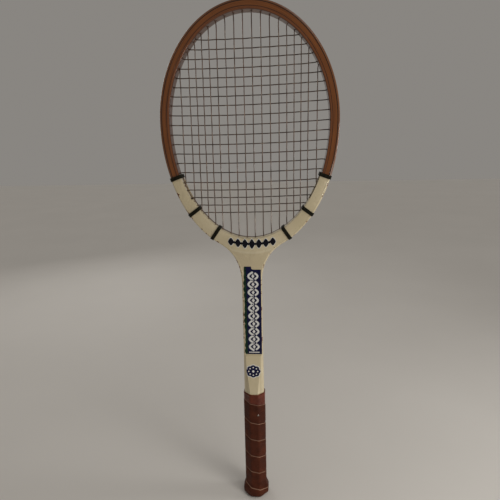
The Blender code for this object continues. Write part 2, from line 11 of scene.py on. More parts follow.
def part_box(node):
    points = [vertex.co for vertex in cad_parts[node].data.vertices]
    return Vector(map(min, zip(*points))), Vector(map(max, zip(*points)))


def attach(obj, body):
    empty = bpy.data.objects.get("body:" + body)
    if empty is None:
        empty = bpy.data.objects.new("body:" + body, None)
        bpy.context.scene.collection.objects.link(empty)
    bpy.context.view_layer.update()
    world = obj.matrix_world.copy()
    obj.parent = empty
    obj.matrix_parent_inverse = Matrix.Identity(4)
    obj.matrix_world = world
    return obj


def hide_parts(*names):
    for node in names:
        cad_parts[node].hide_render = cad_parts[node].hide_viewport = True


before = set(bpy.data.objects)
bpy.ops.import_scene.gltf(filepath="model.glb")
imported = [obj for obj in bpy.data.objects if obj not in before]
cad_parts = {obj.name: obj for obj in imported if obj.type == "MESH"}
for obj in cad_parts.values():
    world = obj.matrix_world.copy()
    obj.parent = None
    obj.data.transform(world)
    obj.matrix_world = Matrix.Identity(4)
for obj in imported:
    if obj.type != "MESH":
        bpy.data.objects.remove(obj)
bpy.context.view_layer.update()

# ------------------------------------------------------- sizes read from the frame
HOOP_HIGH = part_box("hoop_outer_ply")[1]
LENGTH = HOOP_HIGH.z
HEAD_HALF_WIDTH = HOOP_HIGH.x
HANDLE_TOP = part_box("handle_flake_left")[1].z
BUTT_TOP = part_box("butt_block")[1].z
COLLAR_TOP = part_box("grip_collar")[1].z
WEDGE_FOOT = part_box("throat_wedge")[0].z

# ------------------------------------------- driving sizes, the same as in the CAD
HEAD_CENTRE = 0.545
HEAD_RISE = LENGTH - HEAD_CENTRE
HEAD_DROP = 0.1645
THROAT_ANGLE = math.radians(22)
SHAFT_HALF_WIDTH = 0.0134
THROAT_START = 0.335
THROAT_PULL_LOW = 0.030
THROAT_PULL_HIGH = 0.020
HOOP_THICKNESS = 0.0124
BOW_HALF_WIDTH = 0.099
BOW_DROP = 0.146
BOW_END_ANGLE = math.radians(50)
WEDGE_TOP = 0.3942
WEDGE_CORNER_X = 0.0342

# Half depths: bare wood above the upper bindings, painted overlay below them.
WOOD_DEPTH = 0.0087
PAINT_DEPTH = 0.0096
HANDLE_CORE_DEPTH = 0.0084

# Plies, by how far their faces lie inside the outline.
OUTER_PLY = (0.0, 0.00335)
CORE_PLY = (0.0034, 0.0092)
INNER_PLY = (0.00925, HOOP_THICKNESS)
OUTER_ROUND = 0.0024
INNER_ROUND = 0.0016
PAINTED_INNER_ROUND = 0.0008
PLY_EDGE = 0.00012
FINE_STEP = 0.0008
COARSE_STEP = 0.004

# Bindings: polar angle from the tip at the outside and at the inside of the hoop.
BINDINGS = {
    "upper": (math.radians(123.8), math.radians(125.6)),
    "middle": (math.radians(145.1), math.radians(147.4)),
    "lower": (math.radians(160.5), math.radians(162.4)),
}
BINDING_WIDTH = 0.0048
BINDING_THICKNESS = 0.0008
THREADS = 8
THREAD_STEPS = 6
PAINT_ANGLE = math.radians(124.7)
PAINTED_WALL = 0.0020

# Strings. The crosses are pulled up towards their ends, more on the right.
STRING_RADIUS = 0.00065
STRING_SINK = 0.00075
LOOP_BULGE = 0.0018
BEND_DEPTH = 0.0012
WEAVE = 0.00066
MAIN_STEPS = (0.0054, 0.0108, 0.0107, 0.0107, 0.0096, 0.0089, 0.0085, 0.0089, 0.0111)
CROSS_TOP = 0.6436
CROSS_STEPS = ((7, 0.01085), (7, 0.01180), (1, 0.0126), (4, 0.00985))
CROSS_LIFT_LEFT = 0.0010
CROSS_LIFT_RIGHT = 0.0034
HOLE_PITCH = math.radians(1.2)
HOLE_RADIUS = 0.0014
HOLE_DEPTH = 0.0026
GROOVE_HALF_WIDTH = 0.0014
GROOVE_DEPTH = 0.0014
WEDGE_LOOP_DEPTH = 0.0064
CENTRAL_MAINS = 3

# Handle.
FLAKE_SHOULDER = 0.176
HANDLE_HALF_WIDTH = 0.0140
HANDLE_HALF_DEPTH = 0.0128
HANDLE_CHAMFER = 0.0084
SHAFT_CHAMFER = 0.0016
FLAKE_INNER = SHAFT_HALF_WIDTH - OUTER_PLY[1]
FLAKE_SPLIT = 0.0096
COLLAR_THICKNESS = 0.0010
LEATHER_THICKNESS = 0.0013
LEATHER_PITCH = 0.0277
LEATHER_TOP = 0.1600
LEATHER_POINT = 0.28
LEATHER_FOOT = 0.0030
LEATHER_GAP = 0.0002
LEATHER_SKIVE = 0.0013
LEATHER_FIRST_EXTRA = 0.0030
LEATHER_SWAY = 0.0028
LEATHER_ROWS = 12
BUTT_SWELL = 0.0033
BUTT_SWELL_HEIGHT = 0.0085
BUTT_DISC = 0.0027
CLEARANCE = 0.0003
CORNER_SOFTNESS = 0.0016
CORNER_TAPS = (-1.0, -0.5, 0.0, 0.5, 1.0)
TURN_STEPS = 96
TACK_RADIUS = 0.0010
TACK_PLACE = (0.0056, 0.1397)

# Printed film on the shaft and the throat.
FILM = 0.00012
FILM_SLICE_X = 0.0006
FILM_SLICE_Z = 0.0030
PANEL_LEFT = -0.0118
PANEL_RIGHT = 0.0124
PANEL_STEP_X = -0.0006
PANEL_STEP_ROUND = 0.0028
PANEL_TOP_LEFT = 0.3613
PANEL_TOP_RIGHT = 0.3571
PANEL_FOOT = 0.2340
PANEL_EDGE = 0.0042
PANEL_MARGIN = 0.0002
SCALLOP = 0.0017
SCALLOPS = 14
PLAIT_X = 0.0016
PLAIT_REACH = 0.0062
PLAIT_WAVES = 5
PLAIT_TRIM = 0.06
PLAIT_STROKE = 0.00135
PLAIT_LOZENGE = (0.0021, 0.0033)
RULE_REACH = 0.0074
RULE_HALF_WIDTH = 0.0007
LEAVES = 7
LEAF_SPACING = 0.0092
LEAF = (0.0039, 0.0066)
LEAF_HALO = (0.0045, 0.0077)
LEAF_BULGE = 0.18
LEAF_SHRINK = 0.20
LEAF_THREAD = 0.0006
BEAD_RADIUS = 0.0016
THROAT_LINE = (0.0012, 0.3922)
THROAT_LINE_CURVE = 4.4
EMBLEM_PLACE = (-0.0004, 0.2080)
EMBLEM_RADIUS = 0.0086
EMBLEM_LOBES = 8
EMBLEM_LOBE = 0.0013
EMBLEM_WIDEN = 1.05
EMBLEM_HALO = 0.0012
EMBLEM_EYE = 0.0010
EMBLEM_EYE_RING = 0.0060
EMBLEM_MIDDLE_EYE = 0.0017
ROUND_BULGE = 0.41

# Camera, solved from the photograph in the racket's own frame.
LENS = 30.9
CAMERA_PLACE = (0.0429, -0.5595, 0.5158)
CAMERA_RIGHT = (0.9969, 0.0754, -0.0210)
CAMERA_FORWARD = (-0.0782, 0.9695, -0.2323)


# ------------------------------------------------------------------ outline maths

def flat(x, z):
    """Point on the middle plane of the racket."""
    return Vector((x, 0, z))


HEAD_MIDDLE = flat(0, HEAD_CENTRE)


def mix(first, second, share):
    """Value part of the way from first to second."""
    return first + (second - first) * share


def smooth(value, low=0.0, high=1.0):
    """Soft step from 0 at low to 1 at high."""
    share = min(1.0, max(0.0, (value - low) / (high - low)))
    return share * share * (3 - 2 * share)


def running_length(points):
    """Length up to each point of a closed line, and the whole length round it."""
    gaps = [(after - before).length for before, after in zip(points, points[1:] + points[:1])]
    return list(accumulate(gaps, initial=0.0))


def ellipse_radius(angle, half_width, half_height):
    """Distance from the centre to an ellipse, at a polar angle from +Z."""
    return 1 / math.hypot(math.sin(angle) / half_width, math.cos(angle) / half_height)


def outer_radius(angle):
    """Distance from the head centre to the outside of the hoop."""
    height = HEAD_RISE if math.cos(angle) > 0 else HEAD_DROP
    return ellipse_radius(angle, HEAD_HALF_WIDTH, height)


def inner_radius(angle):
    """Distance from the head centre to the inside of the hoop or the bow strip."""
    height = (HEAD_RISE if math.cos(angle) > 0 else HEAD_DROP) - HOOP_THICKNESS
    hoop = ellipse_radius(angle, HEAD_HALF_WIDTH - HOOP_THICKNESS, height)
    if math.cos(angle) > 0:
        return hoop
    return min(hoop, ellipse_radius(angle, BOW_HALF_WIDTH, BOW_DROP))


def inner_half_width(angle):
    """X of the inside of the hoop at a polar angle."""
    return inner_radius(angle) * math.sin(angle)


def head_point(angle, radius, y=0.0):
    """Point at a polar angle from the tip about the head centre."""
    return Vector((radius * math.sin(angle), y, HEAD_CENTRE + radius * math.cos(angle)))


def polar_angle(point):
    """Polar angle of a point about the head centre, negative on the left."""
    return math.atan2(point.x, point.z - HEAD_CENTRE)


def bezier(points, t):
    """Point and direction on a cubic Bezier curve."""
    p0, p1, p2, p3 = points
    s = 1 - t
    point = p0 * s**3 + p1 * (3 * s * s * t) + p2 * (3 * s * t * t) + p3 * t**3
    direction = (p1 - p0) * (s * s) + (p2 - p1) * (2 * s * t) + (p3 - p2) * (t * t)
    return point, direction.normalized()


def head_outline(turn):
    """Point and direction on the outside of the head, after a turn from its foot."""
    drop = HEAD_DROP if math.cos(turn) > 0 else HEAD_RISE
    point = flat(HEAD_HALF_WIDTH * math.sin(turn), HEAD_CENTRE - drop * math.cos(turn))
    return point, flat(HEAD_HALF_WIDTH * math.cos(turn), drop * math.sin(turn)).normalized()


def right_outline(foot, step):
    """Points and inward normals up the right side, from the foot to the tip."""
    straight = max(2, int((THROAT_START - foot) / COARSE_STEP))
    run = [(flat(SHAFT_HALF_WIDTH, mix(foot, THROAT_START, i / straight)), flat(0, 1))
           for i in range(straight)]
    start = flat(SHAFT_HALF_WIDTH, THROAT_START)
    join, join_way = head_outline(THROAT_ANGLE)
    controls = (start, start + flat(0, THROAT_PULL_LOW), join - join_way * THROAT_PULL_HIGH, join)
    curved = max(24, int((join - start).length / step))
    run += [bezier(controls, i / curved) for i in range(curved)]
    around = int((math.pi - THROAT_ANGLE) * (HEAD_RISE + HEAD_HALF_WIDTH) / 2 / step)
    run += [head_outline(mix(THROAT_ANGLE, math.pi, i / around)) for i in range(around + 1)]
    return [(point, flat(-way.z, way.x)) for point, way in run]


def whole_outline(foot, step):
    """The outline up the right side, over the tip and down the left side."""
    right = right_outline(foot, step)
    return right + [(flat(-p.x, p.z), flat(-n.x, n.z)) for p, n in reversed(right[:-1])]


def right_offset(inset, foot, step=COARSE_STEP):
    """The right side of the outline moved inwards by a distance."""
    return [point + normal * inset for point, normal in right_outline(foot, step)]


def paint_share(point):
    """0 on the bare wood above the upper bindings, 1 on the painted wood below."""
    half = BINDING_WIDTH / 4
    reach = (abs(polar_angle(point)) - PAINT_ANGLE) * (point - HEAD_MIDDLE).length
    return smooth(reach, -half, half)


# ----------------------------------------------------------------- mesh helpers

def new_object(name, data):
    """Object in the scene's collection."""
    made = bpy.data.objects.new(name, data)
    bpy.context.scene.collection.objects.link(made)
    return made


@contextmanager
def edited(mesh):
    """Editable form of a mesh, written back at the end."""
    shape = bmesh.new()
    shape.from_mesh(mesh)
    yield shape
    shape.to_mesh(mesh)
    shape.free()


def finish_piece(mesh, name, material, sharp):
    """Smooth-shaded object from a mesh, riding on the racket."""
    piece = new_object(name, mesh)
    mesh.materials.clear()
    mesh.materials.append(material)
    mesh.shade_smooth()
    mesh.set_sharp_from_angle(angle=math.radians(sharp))
    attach(piece, "root")
    return piece


def stand_in(mesh, node_name, material, sharp=40):
    """Finished piece that stands for a CAD node."""
    piece = finish_piece(mesh, "fine_" + node_name, material, sharp)
    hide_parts(node_name)
    return piece


def skin(rings, marks=None, closed=False):
    """Mesh over rings of equal length. UVs are metres along the run and round the ring.

    marks maps an attribute's name to one value per point, ring by ring.
    """
    count = len(rings[0])
    spans = len(rings) if closed else len(rings) - 1
    faces = []
    for row in range(spans):
        after = (row + 1) % len(rings)
        for i in range(count):
            j = (i + 1) % count
            faces.append((row * count + i, row * count + j, after * count + j, after * count + i))
    if not closed:
        faces.append(tuple(reversed(range(count))))
        faces.append(tuple(range((len(rings) - 1) * count, len(rings) * count)))
    mesh = bpy.data.meshes.new("skin")
    mesh.from_pydata([tuple(point) for ring in rings for point in ring], [], faces)
    along = running_length([ring[0] for ring in rings])
    around = running_length(rings[0])
    values = []
    for row in range(spans):
        for i in range(count):
            for u, v in ((row, i), (row, i + 1), (row + 1, i + 1), (row + 1, i)):
                values += [along[u], around[v]]
    values += [0.0] * (2 * len(mesh.loops) - len(values))
    mesh.uv_layers.new(name="grain").data.foreach_set("uv", values)
    for mark, rows in (marks or {}).items():
        attribute = mesh.attributes.new(mark, "FLOAT", "POINT")
        attribute.data.foreach_set("value", [value for row in rows for value in row])
    with edited(mesh) as shape:
        bmesh.ops.recalc_face_normals(shape, faces=shape.faces)
    return mesh


def curve_mesh(curve, weld):
    """Mesh of a curve's surface, its seams welded within a distance."""
    holder = new_object("curve", curve)
    bpy.context.view_layer.update()
    evaluated = holder.evaluated_get(bpy.context.evaluated_depsgraph_get())
    mesh = bpy.data.meshes.new_from_object(evaluated)
    bpy.data.objects.remove(holder)
    with edited(mesh) as shape:
        bmesh.ops.remove_doubles(shape, verts=shape.verts, dist=weld)
        bmesh.ops.recalc_face_normals(shape, faces=shape.faces)
    return mesh


def outline_plate(outlines, thickness, round_edge, middle_y=0.0):
    """Plate cut to closed XZ outlines, standing at a Y, its edges rounded."""
    curve = bpy.data.curves.new("outline", "CURVE")
    curve.dimensions = "2D"
    curve.fill_mode = "BOTH"
    curve.extrude = thickness / 2 - round_edge
    curve.bevel_depth = round_edge
    curve.bevel_resolution = 2
    curve.offset = -round_edge
    for outline in outlines:
        spline = curve.splines.new("POLY")
        spline.points.add(len(outline) - 1)
        for knot, point in zip(spline.points, outline):
            knot.co = (point.x, point.z, 0, 1)
        spline.use_cyclic_u = True
    mesh = curve_mesh(curve, 1e-6)
    mesh.transform(Matrix.Translation((0, middle_y, 0)) @ Matrix.Rotation(math.pi / 2, 4, "X"))
    return mesh


# ---------------------------------------------------------------------- materials

class Look:
    """New material, with short calls for the nodes that feed its Principled shader."""

    def __init__(self, name, coat=0.0, coat_roughness=0.1, metallic=0.0, specular=0.5):
        self.material = bpy.data.materials.new(name)
        self.material.use_nodes = True
        self.tree = self.material.node_tree
        self.shader = self.tree.nodes["Principled BSDF"]
        self.shader.inputs["Coat Weight"].default_value = coat
        self.shader.inputs["Coat Roughness"].default_value = coat_roughness
        self.shader.inputs["Metallic"].default_value = metallic
        self.shader.inputs["Specular IOR Level"].default_value = specular

    def feed(self, socket, value):
        """Give an input a value, a colour of three numbers or another node's output."""
        if isinstance(value, bpy.types.NodeSocket):
            self.tree.links.new(value, socket)
        elif socket.type == "RGBA":
            socket.default_value = (*value, 1)
        else:
            socket.default_value = value

    def node(self, kind, inputs, output=0, **settings):
        """Output of a new node with its settings and inputs."""
        made = self.tree.nodes.new(kind)
        for key, value in settings.items():
            setattr(made, key, value)
        for key, value in inputs.items():
            self.feed(made.inputs[key], value)
        return made.outputs[output]

    def place(self, scale=(1, 1, 1), shift=(0, 0, 0)):
        """Object coordinates in metres, scaled and then shifted."""
        source = self.node("ShaderNodeTexCoord", {}, "Object")
        return self.node("ShaderNodeMapping", {"Vector": source, "Scale": scale, "Location": shift})

    def along_grain(self, scale):
        """Metres along and across a piece, scaled."""
        source = self.node("ShaderNodeUVMap", {}, uv_map="grain")
        return self.node("ShaderNodeMapping", {"Vector": source, "Scale": scale})

    def axis(self, letter):
        """X, Y or Z in metres."""
        return self.node("ShaderNodeSeparateXYZ", {0: self.place()}, letter)

    def mark(self, name):
        """Value stored on the points of a piece."""
        return self.node("ShaderNodeAttribute", {}, "Fac", attribute_name=name)

    def noise(self, scale, detail=3.0, where=None):
        """Cloudy noise between 0 and 1."""
        where = self.place() if where is None else where
        return self.node("ShaderNodeTexNoise", {"Vector": where, "Scale": scale, "Detail": detail})

    def calc(self, operation, *values):
        """One sum on numbers or outputs."""
        return self.node("ShaderNodeMath", dict(enumerate(values)), operation=operation)

    def plus(self, first, second, weight=1.0):
        """First added to a weight times second."""
        return self.calc("MULTIPLY_ADD", second, weight, first)

    def remap(self, value, low, high, out_low=0.0, out_high=1.0):
        """Value moved from one range to another, and held inside it."""
        inputs = {"Value": value, "From Min": low, "From Max": high, "To Min": out_low,
                  "To Max": out_high}
        return self.node("ShaderNodeMapRange", inputs)

    def rough(self, clouds, smoothest, roughest):
        """Roughness between two values that follows a noise."""
        return self.remap(clouds, 0.3, 0.7, smoothest, roughest)

    def ramp(self, value, *stops):
        """Colour ramp with stops given as (place, colour)."""
        colour = self.node("ShaderNodeValToRGB", {"Fac": value})
        elements = colour.node.color_ramp.elements
        while len(elements) < len(stops):
            elements.new(0.5)
        for element, (position, tone) in zip(elements, stops):
            element.position = position
            element.color = (*tone, 1)
        return colour

    def blend(self, share, first, second):
        """Mix of two colours."""
        inputs = {0: share, 6: first, 7: second}
        return self.node("ShaderNodeMix", inputs, 2, data_type="RGBA")

    def finish(self, colour, roughness, height=None, depth=0.0):
        """The material, with its colour, its roughness and a relief of some depth."""
        self.feed(self.shader.inputs["Base Color"], colour)
        self.feed(self.shader.inputs["Roughness"], roughness)
        if height is not None:
            inputs = {"Height": height, "Distance": depth, "Strength": 1.0}
            self.feed(self.shader.inputs["Normal"], self.node("ShaderNodeBump", inputs))
        return self.material


def wood_colour(look, dark, light):
    """Straight-grained wood with slow changes of tone, and its long fine fibres."""
    fibres = look.noise(1.0, 4.0, look.along_grain((22, 1500, 1)))
    bands = look.noise(1.0, 2.0, look.along_grain((5, 260, 1)))
    tone = look.plus(look.calc("MULTIPLY", fibres, 0.6), bands, 0.4)
    middle = [mix(a, b, 0.55) for a, b in zip(dark, light)]
    return look.ramp(tone, (0.33, dark), (0.52, middle), (0.70, light)), fibres


def ivory_colour(look):
    """Aged ivory enamel: slow yellowing, faint grey handling marks and fine specks."""
    clouds = look.noise(22.0, 4.0)
    base = look.ramp(clouds, (0.30, (0.610, 0.520, 0.335)), (0.70, (0.710, 0.615, 0.420)))
    smears = look.remap(look.noise(140.0, 5.0, look.place((1, 1, 0.35))), 0.60, 0.78, 0.0, 0.35)
    worn = look.blend(smears, base, (0.42, 0.34, 0.21))
    specks = look.remap(look.noise(900.0, 1.0), 0.74, 0.80, 0.0, 0.6)
    return look.blend(specks, worn, (0.22, 0.16, 0.09))


def sprayed_short(look, painted_to):
    """1 behind the ragged back edge of the enamel on the inner wall, 0 in front of it."""
    depth = look.plus(look.axis("Y"), look.noise(160.0), 0.004)
    return look.remap(depth, painted_to + 0.0020, painted_to + 0.0026)


def ply_material(name, dark, light, line, line_at, painted_to=1.0):
    """Varnished ply with a dark line, enamelled and chipped below the bindings.

    The dark line starts between two insets in millimetres. On the outer and core plies it
    is a glue line; on the inner ply it covers the inner wall and is painted shade.
    painted_to is the Y behind which the enamel was never sprayed.
    """
    look = Look(name, coat=0.7, coat_roughness=0.06, specular=0.2)
    wood, fibres = wood_colour(look, dark, light)
    # dark line: a glue line on the outer and core plies, painted shade on the inner ply's inner
    # wall
    wood = look.blend(look.remap(look.mark("inset"), *line_at), wood, line)
    chipped = look.remap(look.plus(look.noise(190.0), look.mark("edge"), 0.19), 0.745, 0.76)
    bare = look.calc("MAXIMUM", chipped, sprayed_short(look, painted_to))
    painted = look.calc("MULTIPLY", look.mark("paint"), look.calc("SUBTRACT", 1.0, bare))
    colour = look.blend(painted, wood, ivory_colour(look))
    roughness = look.rough(look.noise(60.0), 0.30, 0.44)
    return look.finish(colour, roughness, look.plus(painted, fibres, 0.4), 0.00012)


def bow_material():
    """Inside of the throat: brown wood, enamelled over its front part."""
    look = Look("bow_wood", coat=0.2, coat_roughness=0.2, specular=0.3)
    wood, fibres = wood_colour(look, (0.045, 0.016, 0.006), (0.130, 0.052, 0.021))
    bare = sprayed_short(look, PAINTED_WALL)
    colour = look.blend(bare, ivory_colour(look), wood)
    return look.finish(colour, look.rough(fibres, 0.34, 0.50), bare, 0.0001)


def overlay_material():
    """Enamel on the flat faces: a faint print of the grain, and a ridge round the head.

    reach is the distance from the head centre in units of the head's own ellipse. Past 1
    the throat lies a little lower, behind a thin ridge. The step is a bump; the darker
    throat past it is painted shade and the pale ridge is a painted highlight.
    """
    look = Look("overlay_enamel", coat=0.5, coat_roughness=0.10)
    print_through = look.noise(1.0, 3.0, look.place((900, 900, 16)))
    ellipse = look.place((1 / HEAD_HALF_WIDTH, 0, 1 / HEAD_DROP), (0, 0, -HEAD_CENTRE / HEAD_DROP))
    reach = look.node("ShaderNodeVectorMath", {0: ellipse}, "Value", operation="LENGTH")
    below = look.remap(reach, 1.0, 1.012)
    ridge = look.calc("MULTIPLY", look.remap(reach, 0.990, 1.0), look.remap(reach, 1.016, 1.004))
    # painted shade: the throat past the ridge is darkened
    shade = look.calc("MULTIPLY", below, 0.16)
    colour = look.blend(shade, ivory_colour(look), (0.40, 0.30, 0.16))
    # painted highlight: the pale ridge colour stands for light along the ridge
    colour = look.blend(look.calc("MULTIPLY", ridge, 0.30), colour, (0.80, 0.74, 0.56))
    height = look.plus(look.plus(look.noise(45.0, 2.0), print_through, 0.25), below, -1.0)
    return look.finish(colour, look.rough(look.noise(70.0), 0.24, 0.36), height, 0.00015)


def flake_material():
    """Handle wood, enamelled above the collar, worn through in places near it."""
    look = Look("flake_enamel", coat=0.4, coat_roughness=0.12)
    fibres = look.noise(1.0, 3.0, look.place((900, 900, 20)))
    wood = look.ramp(fibres, (0.3, (0.24, 0.13, 0.055)), (0.7, (0.42, 0.26, 0.13)))
    edge = look.plus(look.axis("Z"), look.noise(220.0), 0.004)
    painted = look.remap(edge, COLLAR_TOP + 0.0022, COLLAR_TOP + 0.0026)
    colour = look.blend(painted, wood, ivory_colour(look))
    return look.finish(colour, look.rough(look.noise(70.0), 0.28, 0.42), painted, 0.0001)


def hidden_wood_material():
    """Plain sawn wood for the pieces under the overlays and the leather."""
    look = Look("sawn_wood")
    fibres = look.noise(1.0, 4.0, look.place((700, 700, 18)))
    colour = look.ramp(fibres, (0.3, (0.26, 0.15, 0.07)), (0.7, (0.48, 0.31, 0.16)))
    return look.finish(colour, look.remap(fibres, 0.2, 0.8, 0.55, 0.75), fibres, 0.0002)


def string_material(name, dark, light):
    """Brown nylon string with a fine twist, and painted glints: pale spots where the strings cross.
    """
    look = Look(name, coat=0.3, coat_roughness=0.12, specular=0.4)
    colour = look.ramp(look.noise(65.0, 4.0), (0.32, dark), (0.70, light))
    away = look.calc("ABSOLUTE", look.axis("Y"))
    proud = look.remap(away, WEAVE * 1.35, WEAVE * 1.95, 0.0, 0.8)
    # painted highlight: pale spots on the faces that stand out furthest, where the strings cross
    painted_glints = look.calc("MULTIPLY", proud, look.remap(look.noise(90.0), 0.40, 0.60))
    colour = look.blend(painted_glints, colour, (0.42, 0.33, 0.26))
    twist = look.noise(2600.0, 1.0)
    return look.finish(colour, look.rough(twist, 0.28, 0.48), twist, 0.00008)


def binding_material():
    """Black waxed thread with an olive tinge."""
    look = Look("black_thread", specular=0.15)
    tone = look.noise(380.0)
    colour = look.ramp(tone, (0.35, (0.007, 0.007, 0.004)), (0.75, (0.036, 0.034, 0.019)))
    fuzz = look.noise(3000.0, 2.0)
    return look.finish(colour, look.rough(fuzz, 0.50, 0.70), fuzz, 0.0001)


def leather_material():
    """Dark brown smooth leather: pebbled grain, scuffed patches and pale cut edges."""
    look = Look("brown_leather", coat_roughness=0.35, specular=0.12)
    clouds = look.noise(75.0, 4.0)
    hide = look.ramp(clouds, (0.30, (0.050, 0.0105, 0.0042)), (0.72, (0.115, 0.028, 0.0115)))
    scuffs = look.remap(look.noise(420.0, 4.0, look.place((1, 1, 0.5))), 0.66, 0.76, 0.0, 0.5)
    hide = look.blend(scuffs, hide, (0.190, 0.070, 0.034))
    frayed = look.plus(look.mark("cut_edge"), look.noise(500.0), 0.5)
    colour = look.blend(look.remap(frayed, 0.86, 1.02), hide, (0.400, 0.235, 0.160))
    cells = {"Vector": look.place(), "Scale": 1150.0}
    pebbles = look.node("ShaderNodeTexVoronoi", cells, "Distance", feature="DISTANCE_TO_EDGE")
    height = look.plus(look.remap(pebbles, 0.0, 0.16), look.noise(260.0))
    return look.finish(colour, look.rough(clouds, 0.40, 0.56), height, 0.00016)


def collar_material():
    """Glossy red-brown sleeve with fine stretch lines round it."""
    look = Look("red_collar", coat=0.20, coat_roughness=0.08, specular=0.2)
    clouds = look.noise(110.0)
    colour = look.ramp(clouds, (0.30, (0.080, 0.012, 0.0045)), (0.72, (0.150, 0.028, 0.011)))
    lines = look.noise(1.0, 2.0, look.place((60, 60, 1100)))
    height = look.plus(clouds, lines, 0.4)
    return look.finish(colour, look.rough(clouds, 0.22, 0.36), height, 0.0002)


def butt_material():
    """Dark end disc of pressed leather board."""
    look = Look("butt_board", specular=0.12)
    clouds = look.noise(160.0, 4.0)
    colour = look.ramp(clouds, (0.30, (0.026, 0.0065, 0.0035)), (0.72, (0.060, 0.017, 0.008)))
    layers = look.noise(1.0, 2.0, look.place((40, 40, 2600)))
    return look.finish(colour, look.rough(clouds, 0.42, 0.60), layers, 0.00015)


def tack_material():
    """Rubbed nickel tack head."""
    look = Look("nickel", metallic=1.0)
    rubs = look.noise(1500.0)
    colour = look.ramp(rubs, (0.3, (0.46, 0.42, 0.36)), (0.7, (0.80, 0.76, 0.70)))
    return look.finish(colour, look.rough(rubs, 0.16, 0.34), rubs, 0.00003)


def film_material(name, ink, spread):
    """Printed film: nearly even ink with slight mottling."""
    look = Look(name, coat=0.1, coat_roughness=0.08, specular=0.15)
    mottle = look.noise(300.0, 4.0)
    colour = look.ramp(mottle, (0.30, ink), (0.75, [value * spread for value in ink]))
    return look.finish(colour, look.rough(mottle, 0.26, 0.38), mottle, 0.00003)


# ----------------------------------------------------------------------- strings

def numbered_mains():
    """Each main from left to right, as its X, its number from the middle and its side."""
    right = [(x, i, 1) for i, x in enumerate(accumulate(MAIN_STEPS))]
    return [(-x, i, -1) for x, i, _ in reversed(right)] + right


def cross_heights():
    """Z of every cross string at the middle of the head, from the tip down."""
    heights = [CROSS_TOP]
    for count, gap in CROSS_STEPS:
        for _ in range(count):
            heights.append(heights[-1] - gap)
    return heights


def cross_lift(x):
    """How far the pulled cross strings rise from the middle towards the two sides."""
    share = x / BOW_HALF_WIDTH
    even = (CROSS_LIFT_RIGHT + CROSS_LIFT_LEFT) / 2
    odd = (CROSS_LIFT_RIGHT - CROSS_LIFT_LEFT) / 2
    return even * share * share + odd * share


MAINS = numbered_mains()
CROSSES = cross_heights()


def rim_angle(meets, low, high):
    """Angle between low and high where meets(angle) stops being true."""
    for _ in range(40):
        middle = (low + high) / 2
        if meets(middle):
            low = middle
        else:
            high = middle
    return low


def string_holes(side):
    """Angles of the holes on one side, spread so that none meet.

    Keys are ("top", i) and ("foot", i) for main i counted from the middle, and
    ("side", j) for cross j counted from the tip. Holes also keep off the bindings.
    """
    quarter = math.pi / 2
    holes = {}
    for x, i, _ in MAINS[len(MAIN_STEPS):]:
        holes["top", i] = rim_angle(lambda angle: inner_half_width(angle) < x, 0.0, quarter)
        holes["foot", i] = rim_angle(lambda angle: inner_half_width(angle) > x, quarter, math.pi)
    for j, z in enumerate(CROSSES):
        def above(angle):
            point = head_point(side * angle, inner_radius(angle))
            return point.z > z + cross_lift(point.x)
        holes["side", j] = rim_angle(above, 0.0, math.pi)
    for name, (_, inside) in BINDINGS.items():
        holes["binding", name] = inside
    for _ in range(200):
        order = sorted(holes, key=holes.get)
        for first, second in zip(order, order[1:]):
            need = HOLE_PITCH * (1.0 if "binding" in (first[0], second[0]) else 0.95)
            short = need - (holes[second] - holes[first])
            if short <= 0:
                continue
            if first[0] != "binding":
                holes[first] -= short / (1 if second[0] == "binding" else 2)
            if second[0] != "binding":
                holes[second] += short / (1 if first[0] == "binding" else 2)
    return {key: side * angle for key, angle in holes.items() if key[0] != "binding"}


HOLES = {side: string_holes(side) for side in (-1, 1)}
HOLE_ANGLES = [angle for holes in HOLES.values() for angle in holes.values()]


def crosses_held(x, i, side):
    """Numbers of the crosses that a main string meets."""
    top, foot = [head_point(angle, inner_radius(angle)).z
                 for angle in (HOLES[side]["top", i], HOLES[side]["foot", i])]
    held = []
    for j, z in enumerate(CROSSES):
        reach = inner_half_width(abs(HOLES[side]["side", j])) - 0.0005
        if abs(x) < reach and foot + 0.001 < z + cross_lift(x) < top - 0.001:
            held.append(j)
    return held


CROSSINGS = [crosses_held(*main) for main in MAINS]


def weave(index, j):
    """Y of a cross where it passes a main: behind it or in front of it."""
    return WEAVE if (index + j) % 2 == 0 else -WEAVE


def loop_track(start, end, bulge, angle):
    """Y of the loop between two holes, at an angle between them."""
    return bulge * math.sin(math.pi * min(1, max(0, (angle - start) / (end - start))))


def add_loop(path, loops, start, end, bulge):
    """Carry a string on to its next hole, in the groove along the outside of the hoop."""
    loops.append((start, end, bulge))
    for share in (0.2, 0.5, 0.8):
        angle = mix(start, end, share)
        y = loop_track(start, end, bulge, angle)
        path.append(head_point(angle, outer_radius(angle) - STRING_SINK, y))


def string_end(angle, depth=None):
    """The two points of a string in its hole: at the outside and where it leaves the wood."""
    far = outer_radius(angle) - STRING_SINK if depth is None else inner_radius(angle) + depth
    return [head_point(angle, far), head_point(angle, inner_radius(angle) + BEND_DEPTH)]


def main_string_path(loops):
    """One string up and down through every main from the right."""
    path = []
    last = {}
    going_down = True
    for index in reversed(range(len(MAINS))):
        x, i, side = MAINS[index]
        ends = {name: HOLES[side][name, i] for name in ("top", "foot")}
        depth = WEDGE_LOOP_DEPTH if i < CENTRAL_MAINS else None
        run = string_end(ends["top"])
        run += [Vector((x, -weave(index, j), CROSSES[j] + cross_lift(x))) for j in CROSSINGS[index]]
        run += reversed(string_end(ends["foot"], depth))
        if not going_down:
            run.reverse()
        if path and (going_down or depth is None):
            turn = "top" if going_down else "foot"
            add_loop(path, loops, last[turn], ends[turn], -LOOP_BULGE)
        path += run
        last = ends
        going_down = not going_down
    return path


